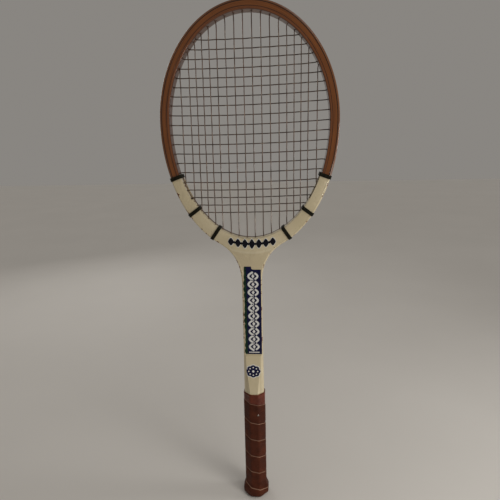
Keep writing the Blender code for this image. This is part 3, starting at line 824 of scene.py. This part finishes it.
def cross_string_path(loops):
    """One string from side to side through every cross from the tip down."""
    path = []
    for j, z in enumerate(CROSSES):
        run = string_end(HOLES[-1]["side", j])
        for index, (x, _, _) in enumerate(MAINS):
            if j in CROSSINGS[index]:
                run.append(Vector((x, weave(index, j), z + cross_lift(x))))
        run += reversed(string_end(HOLES[1]["side", j]))
        if j % 2 == 1:
            run.reverse()
        if path:
            holes = HOLES[-1 if j % 2 == 0 else 1]
            add_loop(path, loops, holes["side", j - 1], holes["side", j], LOOP_BULGE)
        path += run
    return path


def string_piece(name, path, material):
    """Smooth round string through its points."""
    curve = bpy.data.curves.new(name, "CURVE")
    curve.dimensions = "3D"
    curve.bevel_depth = STRING_RADIUS
    curve.bevel_resolution = 2
    curve.resolution_u = 4
    curve.use_fill_caps = True
    spline = curve.splines.new("BEZIER")
    spline.bezier_points.add(len(path) - 1)
    for knot, point in zip(spline.bezier_points, path):
        knot.co = point
        knot.handle_left_type = "AUTO"
        knot.handle_right_type = "AUTO"
    stand_in(curve_mesh(curve, 1e-7), name, material)


# --------------------------------------------------------------- wood of the hoop

def groove_depth(loops, angle, y):
    """How deep the string grooves cut into the outside of the hoop at a place."""
    depth = 0.0
    for start, end, bulge in loops:
        if min(start, end) <= angle <= max(start, end):
            away = abs(y - loop_track(start, end, bulge, angle)) / GROOVE_HALF_WIDTH
            depth = max(depth, GROOVE_DEPTH * (1 - smooth(away)))
    return depth


def hole_depth(angle, radius, y):
    """How deep the string holes cut into the inside of the hoop at a place."""
    depth = 0.0
    for hole in HOLE_ANGLES:
        away = math.hypot((angle - hole) * radius, y) / HOLE_RADIUS
        if away < 1:
            depth = max(depth, HOLE_DEPTH * (1 - smooth(away, 0.35, 1.0)))
    return depth


def quarter_arc(inset, y, radius, start):
    """Points round a quarter turn in (inset, y) space, from an angle in degrees."""
    angles = [math.radians(mix(start, start + 90, i / 4)) for i in range(5)]
    return [(inset + radius * math.cos(a), y + radius * math.sin(a)) for a in angles]


def ply_section(faces, depth, outer_round, inner_round):
    """Section of a ply as (inset, y) points: outer front corner first, then the front.

    The sides are cut finely, closest in the middle, where grooves and holes lie.
    """
    a, b = faces
    corners = [
        quarter_arc(a + outer_round, outer_round - depth, outer_round, 180),
        quarter_arc(b - inner_round, inner_round - depth, inner_round, 270),
        quarter_arc(b - inner_round, depth - inner_round, inner_round, 0),
        quarter_arc(a + outer_round, depth - outer_round, outer_round, 90),
    ]
    face_shares = [k / 6 for k in range(1, 6)]
    side_shares = [k / 30 for k in (4, 8, *range(10, 21), 22, 26)]
    section = []
    for number, corner in enumerate(corners):
        first = corner[-1]
        second = corners[(number + 1) % 4][0]
        shares = side_shares if number % 2 == 1 else face_shares
        section += corner
        section += [(mix(first[0], second[0], t), mix(first[1], second[1], t)) for t in shares]
    return section


def edge_share(inset, y, faces, depth):
    """1 at the long front and back corners of a ply's outside, falling to 0 away from them."""
    return 1 - smooth(math.hypot(inset - faces[0], depth - abs(y)), 0.0006, 0.0032)


def ply(name, faces, foot, step, rounds, material, carve=None):
    """Ply swept round the racket. carve(point, inset, y) gives a change of inset.

    rounds are the radii of its outer and its inner long edges.
    """
    rings = []
    marks = {"inset": [], "paint": [], "edge": []}
    for point, normal in whole_outline(foot, step):
        share = paint_share(point)
        depth = WOOD_DEPTH
        if name == "hoop_outer_ply":
            depth = mix(WOOD_DEPTH, PAINT_DEPTH, share)
        elif point.z < HANDLE_TOP:
            depth = HANDLE_CORE_DEPTH
        inner_round = mix(rounds[1], min(rounds[1], PAINTED_INNER_ROUND), share)
        section = ply_section(faces, depth, rounds[0], inner_round)
        ring = []
        for inset, y in section:
            base = point + normal * inset
            if carve:
                base += normal * carve(base, inset, y)
            ring.append(Vector((base.x, y, base.z)))
        rings.append(ring)
        marks["inset"].append([inset * 1000 for inset, _ in section])
        marks["paint"].append([share] * len(section))
        marks["edge"].append([edge_share(inset, y, faces, depth) for inset, y in section])
    stand_in(skin(rings, marks), name, material)


def hoop_plies(loops):
    """The three bent plies of head and shaft, with grooves outside and holes inside."""
    def grooved(base, inset, y):
        if inset > 1e-6 or base.z < WEDGE_TOP - 0.02:
            return 0.0
        return groove_depth(loops, polar_angle(base), y)

    def drilled(base, inset, y):
        if inset < INNER_PLY[1] - 1e-6 or base.z < WEDGE_TOP:
            return 0.0
        return -hole_depth(polar_angle(base), inner_radius(polar_angle(base)), y)

    outer = ply_material("outer_ply", (0.090, 0.028, 0.008), (0.290, 0.112, 0.038),
                         (0.014, 0.004, 0.0015), (2.4, 2.7))
    core = ply_material("core_ply", (0.115, 0.031, 0.005), (0.300, 0.098, 0.019),
                        (0.028, 0.008, 0.002), (8.5, 8.8))
    # its dark band from 11.3 to 12.3 mm is painted shade on the inner wall, not a glue line
    inner = ply_material("inner_ply", (0.105, 0.030, 0.007), (0.275, 0.090, 0.025),
                         (0.090, 0.028, 0.010), (11.3, 12.3), PAINTED_WALL)
    top = HANDLE_TOP + CLEARANCE
    foot = BUTT_TOP + CLEARANCE
    ply("hoop_outer_ply", OUTER_PLY, top, FINE_STEP, (OUTER_ROUND, PLY_EDGE), outer,
        grooved)
    ply("hoop_core_ply", CORE_PLY, foot, COARSE_STEP, (PLY_EDGE, PLY_EDGE), core)
    ply("hoop_inner_ply", INNER_PLY, foot, FINE_STEP, (PLY_EDGE, INNER_ROUND), inner,
        drilled)


# -------------------------------------------------------------- throat and overlays

def wedge_corner():
    """Where the wedge, the bow strip and the right leg come together."""
    line = right_offset(HOOP_THICKNESS + 2 * CLEARANCE, WEDGE_FOOT)
    for low, high in zip(line, line[1:]):
        if low.x <= WEDGE_CORNER_X <= high.x:
            return low.lerp(high, (WEDGE_CORNER_X - low.x) / (high.x - low.x))
    return line[-1]


def radius_on(line, angle):
    """Distance from the head centre to a line of points, at a polar angle."""
    for low, high in zip(line, line[1:]):
        first = polar_angle(low)
        second = polar_angle(high)
        if min(first, second) <= angle <= max(first, second) and first != second:
            share = (angle - first) / (second - first)
            return mix((low - HEAD_MIDDLE).length, (high - HEAD_MIDDLE).length, share)
    return (line[-1] - HEAD_MIDDLE).length


def bow_underside():
    """Lower face of the right half of the bow strip: over the wedge, then along the leg."""
    corner = wedge_corner()
    rise = corner.z - WEDGE_TOP
    radius = (WEDGE_CORNER_X**2 + rise**2) / (2 * rise)
    sweep = math.asin(WEDGE_CORNER_X / radius)
    foot = WEDGE_TOP + CLEARANCE
    angles = [sweep * i / 16 for i in range(17)]
    arc = [flat(radius * math.sin(a), foot + radius * (1 - math.cos(a))) for a in angles]
    leg = right_offset(HOOP_THICKNESS + 0.0001, WEDGE_FOOT)
    return arc + [p for p in leg if corner.z + 0.001 < p.z < HEAD_CENTRE]


def bow_strip(material):
    """Tapered strip that lines the inside of the throat."""
    under = bow_underside()
    rings = []
    steps = 220
    for i in range(steps + 1):
        turn = BOW_END_ANGLE * (2 * i / steps - 1)
        upper = flat(BOW_HALF_WIDTH * math.sin(turn), HEAD_CENTRE - BOW_DROP * math.cos(turn))
        angle = polar_angle(upper)
        top = (upper - HEAD_MIDDLE).length
        low = max(top + 0.0002, radius_on(under, abs(angle)))
        edge = min(PAINTED_INNER_ROUND, (low - top) / 2.5)
        ring = []
        for inset, y in ply_section((-low, -top), WOOD_DEPTH, edge, edge):
            radius = -inset
            if radius < top + 1e-6:
                radius += hole_depth(angle, top, y)
            ring.append(head_point(angle, radius, y))
        rings.append(ring)
    stand_in(skin(rings), "throat_bow_strip", material)


def overlay_outline():
    """Outline of the overlay: outside the plies up to the bindings, back along the inside."""
    line = right_offset(OUTER_PLY[1] - 0.0001, HANDLE_TOP + CLEARANCE, 0.002)
    right = [point for point in line if polar_angle(point) > PAINT_ANGLE]
    right.append(head_point(PAINT_ANGLE, outer_radius(PAINT_ANGLE) - OUTER_PLY[1]))
    steps = 60
    for i in range(steps + 1):
        angle = mix(PAINT_ANGLE, math.pi, i / steps)
        right.append(head_point(angle, inner_radius(angle) + PAINTED_INNER_ROUND / 2))
    return right + [flat(-p.x, p.z) for p in reversed(right[:-1])]


def overlays(material):
    """Enamelled veneers on the front and the back."""
    thickness = PAINT_DEPTH - WOOD_DEPTH
    for label, side in (("front", -1), ("back", 1)):
        middle = side * (WOOD_DEPTH + thickness / 2)
        mesh = outline_plate([overlay_outline()], thickness, 0.0002, middle)
        stand_in(mesh, label + "_overlay", material)


# --------------------------------------------------------------------- bindings

def wrapped(section, middle, height):
    """Section pushed out from the middle of the hoop by a height."""
    pushed = []
    for inset, y in section:
        way = Vector((inset - middle, y)).normalized()
        reach = max(abs(way.x), abs(way.y))
        pushed.append((inset + height * way.x / reach, y + height * way.y / reach))
    return pushed


def binding(name, outside, inside, side, material):
    """Waxed thread wound round the hoop, its turns side by side."""
    start = head_point(outside * side, outer_radius(outside) + CLEARANCE)
    end = head_point(inside * side, inner_radius(inside) - CLEARANCE)
    across = (end - start).normalized()
    along = flat(across.z, -across.x)
    width = (end - start).length
    section = ply_section((0, width), PAINT_DEPTH + CLEARANCE, OUTER_ROUND,
                          PAINTED_INNER_ROUND + CLEARANCE)
    total = THREADS * THREAD_STEPS
    profile = []
    for i in range(total + 1):
        ridge = abs(math.sin(math.pi * i / THREAD_STEPS))
        profile.append((i / total - 0.5, BINDING_THICKNESS * (0.45 + 0.55 * math.sqrt(ridge))))
    profile += [(0.5, 0.0), (-0.5, 0.0)]
    rings = []
    for share, height in profile:
        shift = along * (BINDING_WIDTH * share)
        rings.append([start + across * inset + shift + Vector((0, y, 0))
                      for inset, y in wrapped(section, width / 2, height)])
    stand_in(skin(rings, closed=True), name, material, sharp=70)


def bindings(material):
    """Three bindings on each shoulder."""
    for level, (outside, inside) in BINDINGS.items():
        for label, side in (("left", -1), ("right", 1)):
            binding("binding_" + label + "_" + level, outside, inside, side, material)


# ------------------------------------------------------------------------ handle

def handle_point(growth, z, turns):
    """Point on the handle's softened octagon after some turns from the left, at a height.

    The octagon is the bare handle's, grown by a distance. Its corners are softened by
    the mean of a few points on either side.
    """
    x = HANDLE_HALF_WIDTH + growth
    y = HANDLE_HALF_DEPTH + growth
    c = HANDLE_CHAMFER + growth * (2 - math.sqrt(2))
    corners = [Vector(corner) for corner in (
        (-x, y - c), (-x, -y + c), (-x + c, -y), (x - c, -y),
        (x, -y + c), (x, y - c), (x - c, y), (-x + c, y))]
    lengths = running_length(corners)
    found = Vector((0, 0))
    for tap in CORNER_TAPS:
        length = (turns * lengths[-1] + tap * CORNER_SOFTNESS) % lengths[-1]
        number = max(0, bisect_left(lengths, length) - 1)
        share = (length - lengths[number]) / (lengths[number + 1] - lengths[number])
        found += corners[number].lerp(corners[(number + 1) % 8], share) / len(CORNER_TAPS)
    return Vector((found.x, found.y, z))


def swell(z):
    """Extra half width of the handle near the butt."""
    if z <= BUTT_SWELL_HEIGHT:
        return BUTT_SWELL * (1 - 0.35 * ((BUTT_SWELL_HEIGHT - z) / BUTT_SWELL_HEIGHT) ** 2)
    rest = min(1, (z - BUTT_SWELL_HEIGHT) / (BUTT_TOP - BUTT_SWELL_HEIGHT))
    return BUTT_SWELL * 0.5 * (1 + math.cos(math.pi * rest))


def leather_bottom(turns):
    """Height of the leather's lower edge after some turns. It drops faster at the back."""
    sway = LEATHER_SWAY * (1 - math.cos(math.tau * turns)) / 2
    return LEATHER_TOP - LEATHER_PITCH * (turns + 1) + sway


def leather_top(turns):
    """Height of the leather's upper edge. Its first end is cut to a point, its first turn wide."""
    extra = LEATHER_FIRST_EXTRA * smooth(turns, -LEATHER_POINT, 0) * (1 - smooth(turns, 0.7, 0.95))
    return leather_bottom(turns) + LEATHER_PITCH * min(1, 1 + turns / LEATHER_POINT) + extra


def leather_grip(material):
    """Strip of leather wound down the handle, thinned towards both edges."""
    rings = []
    cuts = []
    step_number = math.ceil(-LEATHER_POINT * TURN_STEPS) + 1
    while leather_top(step_number / TURN_STEPS) > LEATHER_FOOT + 0.001:
        turns = step_number / TURN_STEPS
        top = leather_top(turns) - LEATHER_GAP
        bottom = max(leather_bottom(turns) + LEATHER_GAP, LEATHER_FOOT)
        width = max(0.0004, top - bottom)
        outside = []
        inside = []
        cut = []
        for row in range(LEATHER_ROWS + 1):
            share = 0.5 - 0.5 * math.cos(math.pi * row / LEATHER_ROWS)
            z = bottom + width * share
            lower_edge_hidden = bottom == LEATHER_FOOT
            from_edge = width * (1 - share if lower_edge_hidden else min(share, 1 - share))
            skive = (1 - smooth(from_edge, 0, LEATHER_SKIVE)) * 0.55
            growth = swell(z) + CLEARANCE
            outside.append(handle_point(growth + LEATHER_THICKNESS * (1 - skive), z, turns))
            inside.append(handle_point(growth, z, turns))
            cut.append(1 - smooth(from_edge, 0.0001, 0.0009))
        rings.append(inside + outside[::-1])
        cuts.append(cut + cut[::-1])
        step_number += 1
    stand_in(skin(rings, {"cut_edge": cuts}), "leather_grip", material, sharp=60)


def grip_collar(material):
    """Shiny sleeve above the leather, with a rolled upper rim."""
    rings = []
    for i in range(TURN_STEPS):
        share = i / TURN_STEPS
        first_turn = share if share < 1 - LEATHER_POINT else share - 1
        low = leather_top(first_turn) + LEATHER_GAP
        profile = [(0.0, low), (0.75, low), (0.95, low + 0.0005)]
        profile += [(1.0, mix(low + 0.0005, COLLAR_TOP - 0.0024, k / 4)) for k in range(1, 5)]
        profile += [(1.08, COLLAR_TOP - 0.0018), (1.14, COLLAR_TOP - 0.0011),
                    (1.02, COLLAR_TOP - 0.0004), (0.7, COLLAR_TOP), (0.0, COLLAR_TOP)]
        rings.append([handle_point(CLEARANCE + COLLAR_THICKNESS * height, z, share)
                      for height, z in profile])
    stand_in(skin(rings, closed=True), "grip_collar", material, sharp=60)


def butt_disc(material):
    """Rounded disc that closes the butt."""
    middle = swell(0) - 0.0030
    rings = []
    for share, z in ((0.0, 0.0), (0.35, 0.0001), (0.62, 0.0004), (0.82, 0.0009), (0.94, 0.0015),
                     (1.0, 0.0022), (1.0, BUTT_DISC)):
        growth = middle + 0.0042 * share
        rings.append([handle_point(growth, z, i / TURN_STEPS) for i in range(TURN_STEPS)])
    stand_in(skin(rings), "butt_end_disc", material, sharp=60)


def flake_sections(z):
    """Half width, half depth and chamfer of the bare handle at a height."""
    share = min(1, max(0, (z - FLAKE_SHOULDER) / (HANDLE_TOP - FLAKE_SHOULDER)))
    return (mix(HANDLE_HALF_WIDTH, SHAFT_HALF_WIDTH, share),
            mix(HANDLE_HALF_DEPTH, PAINT_DEPTH, share),
            mix(HANDLE_CHAMFER, SHAFT_CHAMFER, share))


def side_flake_ring(z):
    """Section of the right flake from the front to the back. The split's corner is doubled."""
    x, y, c = flake_sections(z)
    split = min(y, x + y - c - FLAKE_SPLIT)
    half = [(FLAKE_INNER, split), (FLAKE_INNER, split), (x, y - c)]
    return [(px, -py) for px, py in half] + half[::-1]


def face_flake_ring(z):
    """Section of the back flake: its corners from the right to the left."""
    x, y, c = flake_sections(z)
    split = min(y, x + y - c - FLAKE_INNER)
    half = [(FLAKE_INNER, min(WOOD_DEPTH, split - 0.0002)), (FLAKE_INNER, split),
            (min(x - c, FLAKE_INNER), y)]
    return half + [(-px, py) for px, py in reversed(half)]


def handle_flakes(material):
    """Four flakes that turn the flat shaft into the eight-sided handle."""
    heights = [BUTT_TOP + CLEARANCE]
    heights += [mix(COLLAR_TOP - 0.004, HANDLE_TOP, i / 24) for i in range(25)]
    for label, section, mirror in (("left", side_flake_ring, (-1, 1)),
                                   ("right", side_flake_ring, (1, 1)),
                                   ("front", face_flake_ring, (1, -1)),
                                   ("back", face_flake_ring, (1, 1))):
        rings = [[Vector((mirror[0] * x, mirror[1] * y, z)) for x, y in section(z)]
                 for z in heights]
        piece = stand_in(skin(rings), "handle_flake_" + label, material, sharp=25)
        soften = piece.modifiers.new("soften", "BEVEL")
        soften.width = 0.0004
        soften.segments = 3
        soften.limit_method = "ANGLE"
        soften.angle_limit = math.radians(20)


def tack(material):
    """Domed tack head in the leather."""
    surface = HANDLE_HALF_DEPTH + CLEARANCE + LEATHER_THICKNESS
    angles = [math.tau * i / 32 for i in range(32)]
    rings = []
    for height, share in ((-0.0002, 0.96), (0.0000, 1.0), (0.0001, 0.99), (0.00028, 0.85),
                          (0.00042, 0.6), (0.00052, 0.32), (0.00055, 0.06)):
        radius = TACK_RADIUS * share
        rings.append([Vector((TACK_PLACE[0] + radius * math.cos(a), -surface - height,
                              TACK_PLACE[1] + radius * math.sin(a))) for a in angles])
    stand_in(skin(rings), "grip_tack", material)


# -------------------------------------------------------------- ornament on the front

FRONT_EDGE = [point for point, _ in right_outline(HANDLE_TOP, COARSE_STEP)
              if point.z < WEDGE_TOP]


def half_width_at(z):
    """Half width of the shaft and the throat at a height."""
    for low, high in zip(FRONT_EDGE, FRONT_EDGE[1:]):
        if low.z <= z <= high.z:
            return mix(low.x, high.x, (z - low.z) / (high.z - low.z))
    return SHAFT_HALF_WIDTH


def front_surface(x, z):
    """Y of the painted front, falling away over a rounded edge or the handle's cut corner."""
    if z < HANDLE_TOP:
        half_width, half_depth, chamfer = flake_sections(z)
        return -min(half_depth, half_width + half_depth - chamfer - abs(x))
    beyond = abs(x) - (half_width_at(z) - OUTER_ROUND)
    if beyond <= 0:
        return -PAINT_DEPTH
    beyond = min(beyond, OUTER_ROUND * 0.98)
    return -(PAINT_DEPTH - OUTER_ROUND + math.sqrt(OUTER_ROUND**2 - beyond**2))


def slice_up(shape, axis, spacing):
    """Cut a shape by parallel planes so that it can be bent."""
    reach = [vertex.co.dot(axis) for vertex in shape.verts]
    for k in range(1, int((max(reach) - min(reach)) / spacing) + 1):
        everything = shape.verts[:] + shape.edges[:] + shape.faces[:]
        bmesh.ops.bisect_plane(shape, geom=everything, plane_no=axis,
                               plane_co=axis * (min(reach) + k * spacing))


def film(name, outlines, layer, material, wrap=False):
    """Thin printed film on the front, in one of several layers. Wrapped film follows the edge."""
    mesh = outline_plate(outlines, FILM, FILM * 0.2)
    with edited(mesh) as shape:
        if wrap:
            slice_up(shape, flat(1, 0), FILM_SLICE_X)
            slice_up(shape, flat(0, 1), FILM_SLICE_Z)
        for vertex in shape.verts:
            base = front_surface(vertex.co.x, vertex.co.z) if wrap else -PAINT_DEPTH
            vertex.co.y += base - FILM * (layer + 0.5)
    finish_piece(mesh, name, material, sharp=30)


def stroke(points, half_width):
    """Closed outline of a stroke of even width along points in the XZ plane."""
    left = []
    right = []
    for i, point in enumerate(points):
        before = points[max(0, i - 1)]
        after = points[min(len(points) - 1, i + 1)]
        way = (after - before).normalized()
        aside = flat(-way.z, way.x) * half_width
        left.append(point + aside)
        right.append(point - aside)
    return left + right[::-1]


def lozenge(centre, half_width, half_height, bulge=0.0):
    """Closed diamond outline, with sides curved in or out."""
    points = []
    corners = [flat(half_width, 0), flat(0, half_height), flat(-half_width, 0),
               flat(0, -half_height)]
    for first, second in zip(corners, corners[1:] + corners[:1]):
        for k in range(6):
            point = first.lerp(second, k / 6) * (1 + bulge * math.sin(math.pi * k / 6))
            points.append(centre + point)
    return points


def bead(centre, radius):
    """Closed outline of a small round dot."""
    return lozenge(centre, radius, radius, ROUND_BULGE)


def scalloped_edge(x, low, high):
    """Points up an edge that is bitten into by uneven scallops."""
    points = []
    steps = SCALLOPS * 6
    for i in range(steps + 1):
        share = i / steps
        bite = abs(math.sin(math.pi * share * SCALLOPS)) * (0.6 + 0.4 * math.sin(17 * share + 1))
        points.append(flat(x + SCALLOP * (1 - bite), mix(low, high, share)))
    return points


def shaft_panel(navy, green, white):
    """Dark panel down the shaft with a plaited white band, generic and without lettering."""
    left = PANEL_LEFT + SCALLOP + 0.0003
    panel = [flat(PANEL_RIGHT, PANEL_FOOT), flat(PANEL_RIGHT, PANEL_TOP_RIGHT)]
    for k in range(6, -1, -1):
        angle = math.radians(90 * k / 6)
        panel.append(flat(PANEL_STEP_X + PANEL_STEP_ROUND * (1 - math.cos(angle)),
                          PANEL_TOP_RIGHT + PANEL_STEP_ROUND * (1 - math.sin(angle))))
    panel += [flat(PANEL_STEP_X, PANEL_TOP_LEFT), flat(left, PANEL_TOP_LEFT),
              flat(left, PANEL_FOOT)]
    film("shaft_panel", [panel], 0, navy, wrap=True)
    low = PANEL_FOOT + PANEL_MARGIN
    high = PANEL_TOP_LEFT - PANEL_MARGIN
    strip = scalloped_edge(PANEL_LEFT, low, high)
    strip += [flat(PANEL_LEFT + PANEL_EDGE, high), flat(PANEL_LEFT + PANEL_EDGE, low)]
    film("shaft_panel_edge", [strip], 1, green, wrap=True)
    plait(white)


def plait(white):
    """Two crossing waves, cut where one passes under, with lozenges between and a rule below."""
    low = PANEL_FOOT + 0.0055
    high = PANEL_TOP_RIGHT - 0.0035
    outlines = []
    for side in (-1, 1):
        for half in range(2 * PLAIT_WAVES):
            trim = PLAIT_TRIM if side * (-1) ** half > 0 else 0.0
            first = (half / 2 + trim) / PLAIT_WAVES
            last = (half / 2 + 0.5 - trim) / PLAIT_WAVES
            points = []
            for k in range(13):
                share = mix(first, last, k / 12)
                swing = side * math.sin(math.tau * PLAIT_WAVES * share)
                points.append(flat(PLAIT_X + PLAIT_REACH * swing, mix(low, high, share)))
            outlines.append(stroke(points, PLAIT_STROKE))
    for half in range(2 * PLAIT_WAVES):
        centre = flat(PLAIT_X, mix(low, high, (half + 0.5) / (2 * PLAIT_WAVES)))
        outlines.append(lozenge(centre, *PLAIT_LOZENGE))
    film("shaft_plait", outlines, 1, white)
    rule = [flat(PLAIT_X + side * RULE_REACH, low - 0.0026) for side in (-1, 1)]
    film("shaft_rule", [stroke(rule, RULE_HALF_WIDTH)], 1, white)


def throat_place(step):
    """Point on the curved line of the throat's ornament, some leaf spacings from its middle."""
    x = LEAF_SPACING * step
    return flat(THROAT_LINE[0] + x, THROAT_LINE[1] + THROAT_LINE_CURVE * x * x)


def throat_ornament(ink, halo):
    """Garland of leaf-shaped lozenges and beads that follows the curve of the throat."""
    end = (LEAVES - 1) / 2
    leaves = []
    halos = []
    for k in range(LEAVES):
        centre = throat_place(k - end)
        size = 1 - LEAF_SHRINK * abs(k / end - 1)
        leaves.append(lozenge(centre, LEAF[0], LEAF[1] * size, LEAF_BULGE))
        halos.append(lozenge(centre, LEAF_HALO[0], LEAF_HALO[1] * size, LEAF_BULGE))
    beads = [bead(throat_place(k - end + 0.5), BEAD_RADIUS) for k in range(LEAVES - 1)]
    thread = [throat_place(end * (k / 12 - 1)) for k in range(25)]
    film("throat_ornament_halo", halos, 0, halo)
    film("throat_ornament_thread", [stroke(thread, LEAF_THREAD)], 1, ink)
    film("throat_ornament", leaves, 2, ink)
    film("throat_ornament_beads", beads, 2, ink)


def rosette(centre, grow):
    """Closed outline with round lobes, a little wider than high."""
    outline = []
    for k in range(128):
        angle = math.tau * k / 128
        radius = EMBLEM_RADIUS + EMBLEM_LOBE * abs(math.cos(EMBLEM_LOBES / 2 * angle)) + grow
        x = EMBLEM_WIDEN * radius * math.sin(angle)
        outline.append(centre + flat(x, 0.93 * radius * math.cos(angle)))
    return outline


def shaft_emblem(ink, halo):
    """Plain eight-lobed rosette with round eyes below the panel."""
    centre = flat(*EMBLEM_PLACE)
    film("shaft_emblem_halo", [rosette(centre, EMBLEM_HALO)], 0, halo, wrap=True)
    film("shaft_emblem", [rosette(centre, 0.0)], 1, ink, wrap=True)
    eyes = [bead(centre, EMBLEM_MIDDLE_EYE)]
    for k in range(EMBLEM_LOBES):
        angle = math.tau * k / EMBLEM_LOBES
        offset = flat(EMBLEM_WIDEN * math.sin(angle), 0.95 * math.cos(angle)) * EMBLEM_EYE_RING
        eyes.append(bead(centre + offset, EMBLEM_EYE))
    film("shaft_emblem_eyes", eyes, 2, halo, wrap=True)


# ------------------------------------------------------------------------- studio

def floor():
    """Wide pale floor under the racket."""
    mesh = bpy.data.meshes.new("floor")
    with edited(mesh) as shape:
        bmesh.ops.create_grid(shape, x_segments=1, y_segments=1, size=6)
    look = Look("floor_paint", specular=0.3)
    clouds = look.noise(3.0, 4.0)
    colour = look.ramp(clouds, (0.3, (0.715, 0.690, 0.655)), (0.7, (0.745, 0.720, 0.685)))
    mesh.materials.append(look.finish(colour, look.rough(clouds, 0.55, 0.65)))
    new_object("floor", mesh)


def add_light(name, kind, energy, colour, start, aim, **settings):
    """Light that shines from one point towards another."""
    light = bpy.data.lights.new(name, kind)
    light.energy = energy
    light.color = colour
    for key, value in settings.items():
        setattr(light, key, value)
    holder = new_object(name, light)
    holder.location = start
    holder.rotation_euler = (Vector(aim) - Vector(start)).to_track_quat("-Z", "Y").to_euler()


def lights():
    """A faint sun for the far floor, three soft round lamps, and pale surroundings."""
    warm = (1.0, 0.97, 0.92)
    pale = (1.0, 0.98, 0.95)
    add_light("high_sun", "SUN", 0.45, warm, (0, 0, 0), (-0.50, 0.45, -0.74),
              angle=math.radians(30))
    for name, watts, colour, start, aim_height, size in (
            ("near_right", 1.15, warm, (0.56, -0.42, 0.30), 0.36, 0.20),
            ("edge_gloss", 1.6, pale, (0.90, 0.05, 0.46), 0.46, 0.24),
            ("back_fill", 2.5, pale, (-0.8, 1.2, 0.9), 0.40, 0.8)):
        add_light(name, "AREA", watts, colour, start, (0, 0, aim_height), shape="DISK", size=size)
    world = bpy.data.worlds.new("surroundings")
    world.use_nodes = True
    world.node_tree.nodes["Background"].inputs["Color"].default_value = (0.250, 0.237, 0.220, 1)
    bpy.context.scene.world = world
    bpy.context.scene.view_settings.view_transform = "Standard"


def camera():
    """Camera in front of the head of the racket, looking down at its front."""
    data = bpy.data.cameras.new("camera")
    data.sensor_width = 36
    data.lens = LENS
    holder = new_object("camera", data)
    forward = Vector(CAMERA_FORWARD).normalized()
    up = Vector(CAMERA_RIGHT).normalized().cross(forward).normalized()
    right = forward.cross(up)
    turn = Matrix((right, up, -forward)).transposed().to_4x4()
    holder.matrix_world = Matrix.Translation(CAMERA_PLACE) @ turn
    bpy.context.scene.camera = holder


# ----------------------------------------------------------------------- assembly

def repaint_kept_nodes():
    """Sawn wood on the CAD nodes that stay: they lie under the overlays and the leather."""
    wood = hidden_wood_material()
    for name in ("throat_wedge", "shaft_centre_strip", "butt_block"):
        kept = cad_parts[name]
        kept.data.materials.clear()
        kept.data.materials.append(wood)


def build():
    """Make every piece of the finished racket."""
    loops = []
    main_path = main_string_path(loops)
    cross_path = cross_string_path(loops)
    hoop_plies(loops)
    bow_strip(bow_material())
    overlays(overlay_material())
    bindings(binding_material())
    string_piece("main_string", main_path,
                 string_material("main_nylon", (0.060, 0.032, 0.022), (0.190, 0.112, 0.080)))
    string_piece("cross_string", cross_path,
                 string_material("cross_nylon", (0.028, 0.015, 0.010), (0.095, 0.055, 0.038)))
    handle_flakes(flake_material())
    leather_grip(leather_material())
    grip_collar(collar_material())
    butt_disc(butt_material())
    tack(tack_material())
    navy = film_material("navy_film", (0.003, 0.004, 0.034), 1.6)
    green = film_material("green_film", (0.003, 0.014, 0.007), 3.5)
    white = film_material("white_film", (0.80, 0.80, 0.78), 0.92)
    shaft_panel(navy, green, white)
    throat_ornament(film_material("black_ink", (0.003, 0.003, 0.008), 1.6), white)
    shaft_emblem(navy, white)
    repaint_kept_nodes()


floor()
lights()
camera()
build()
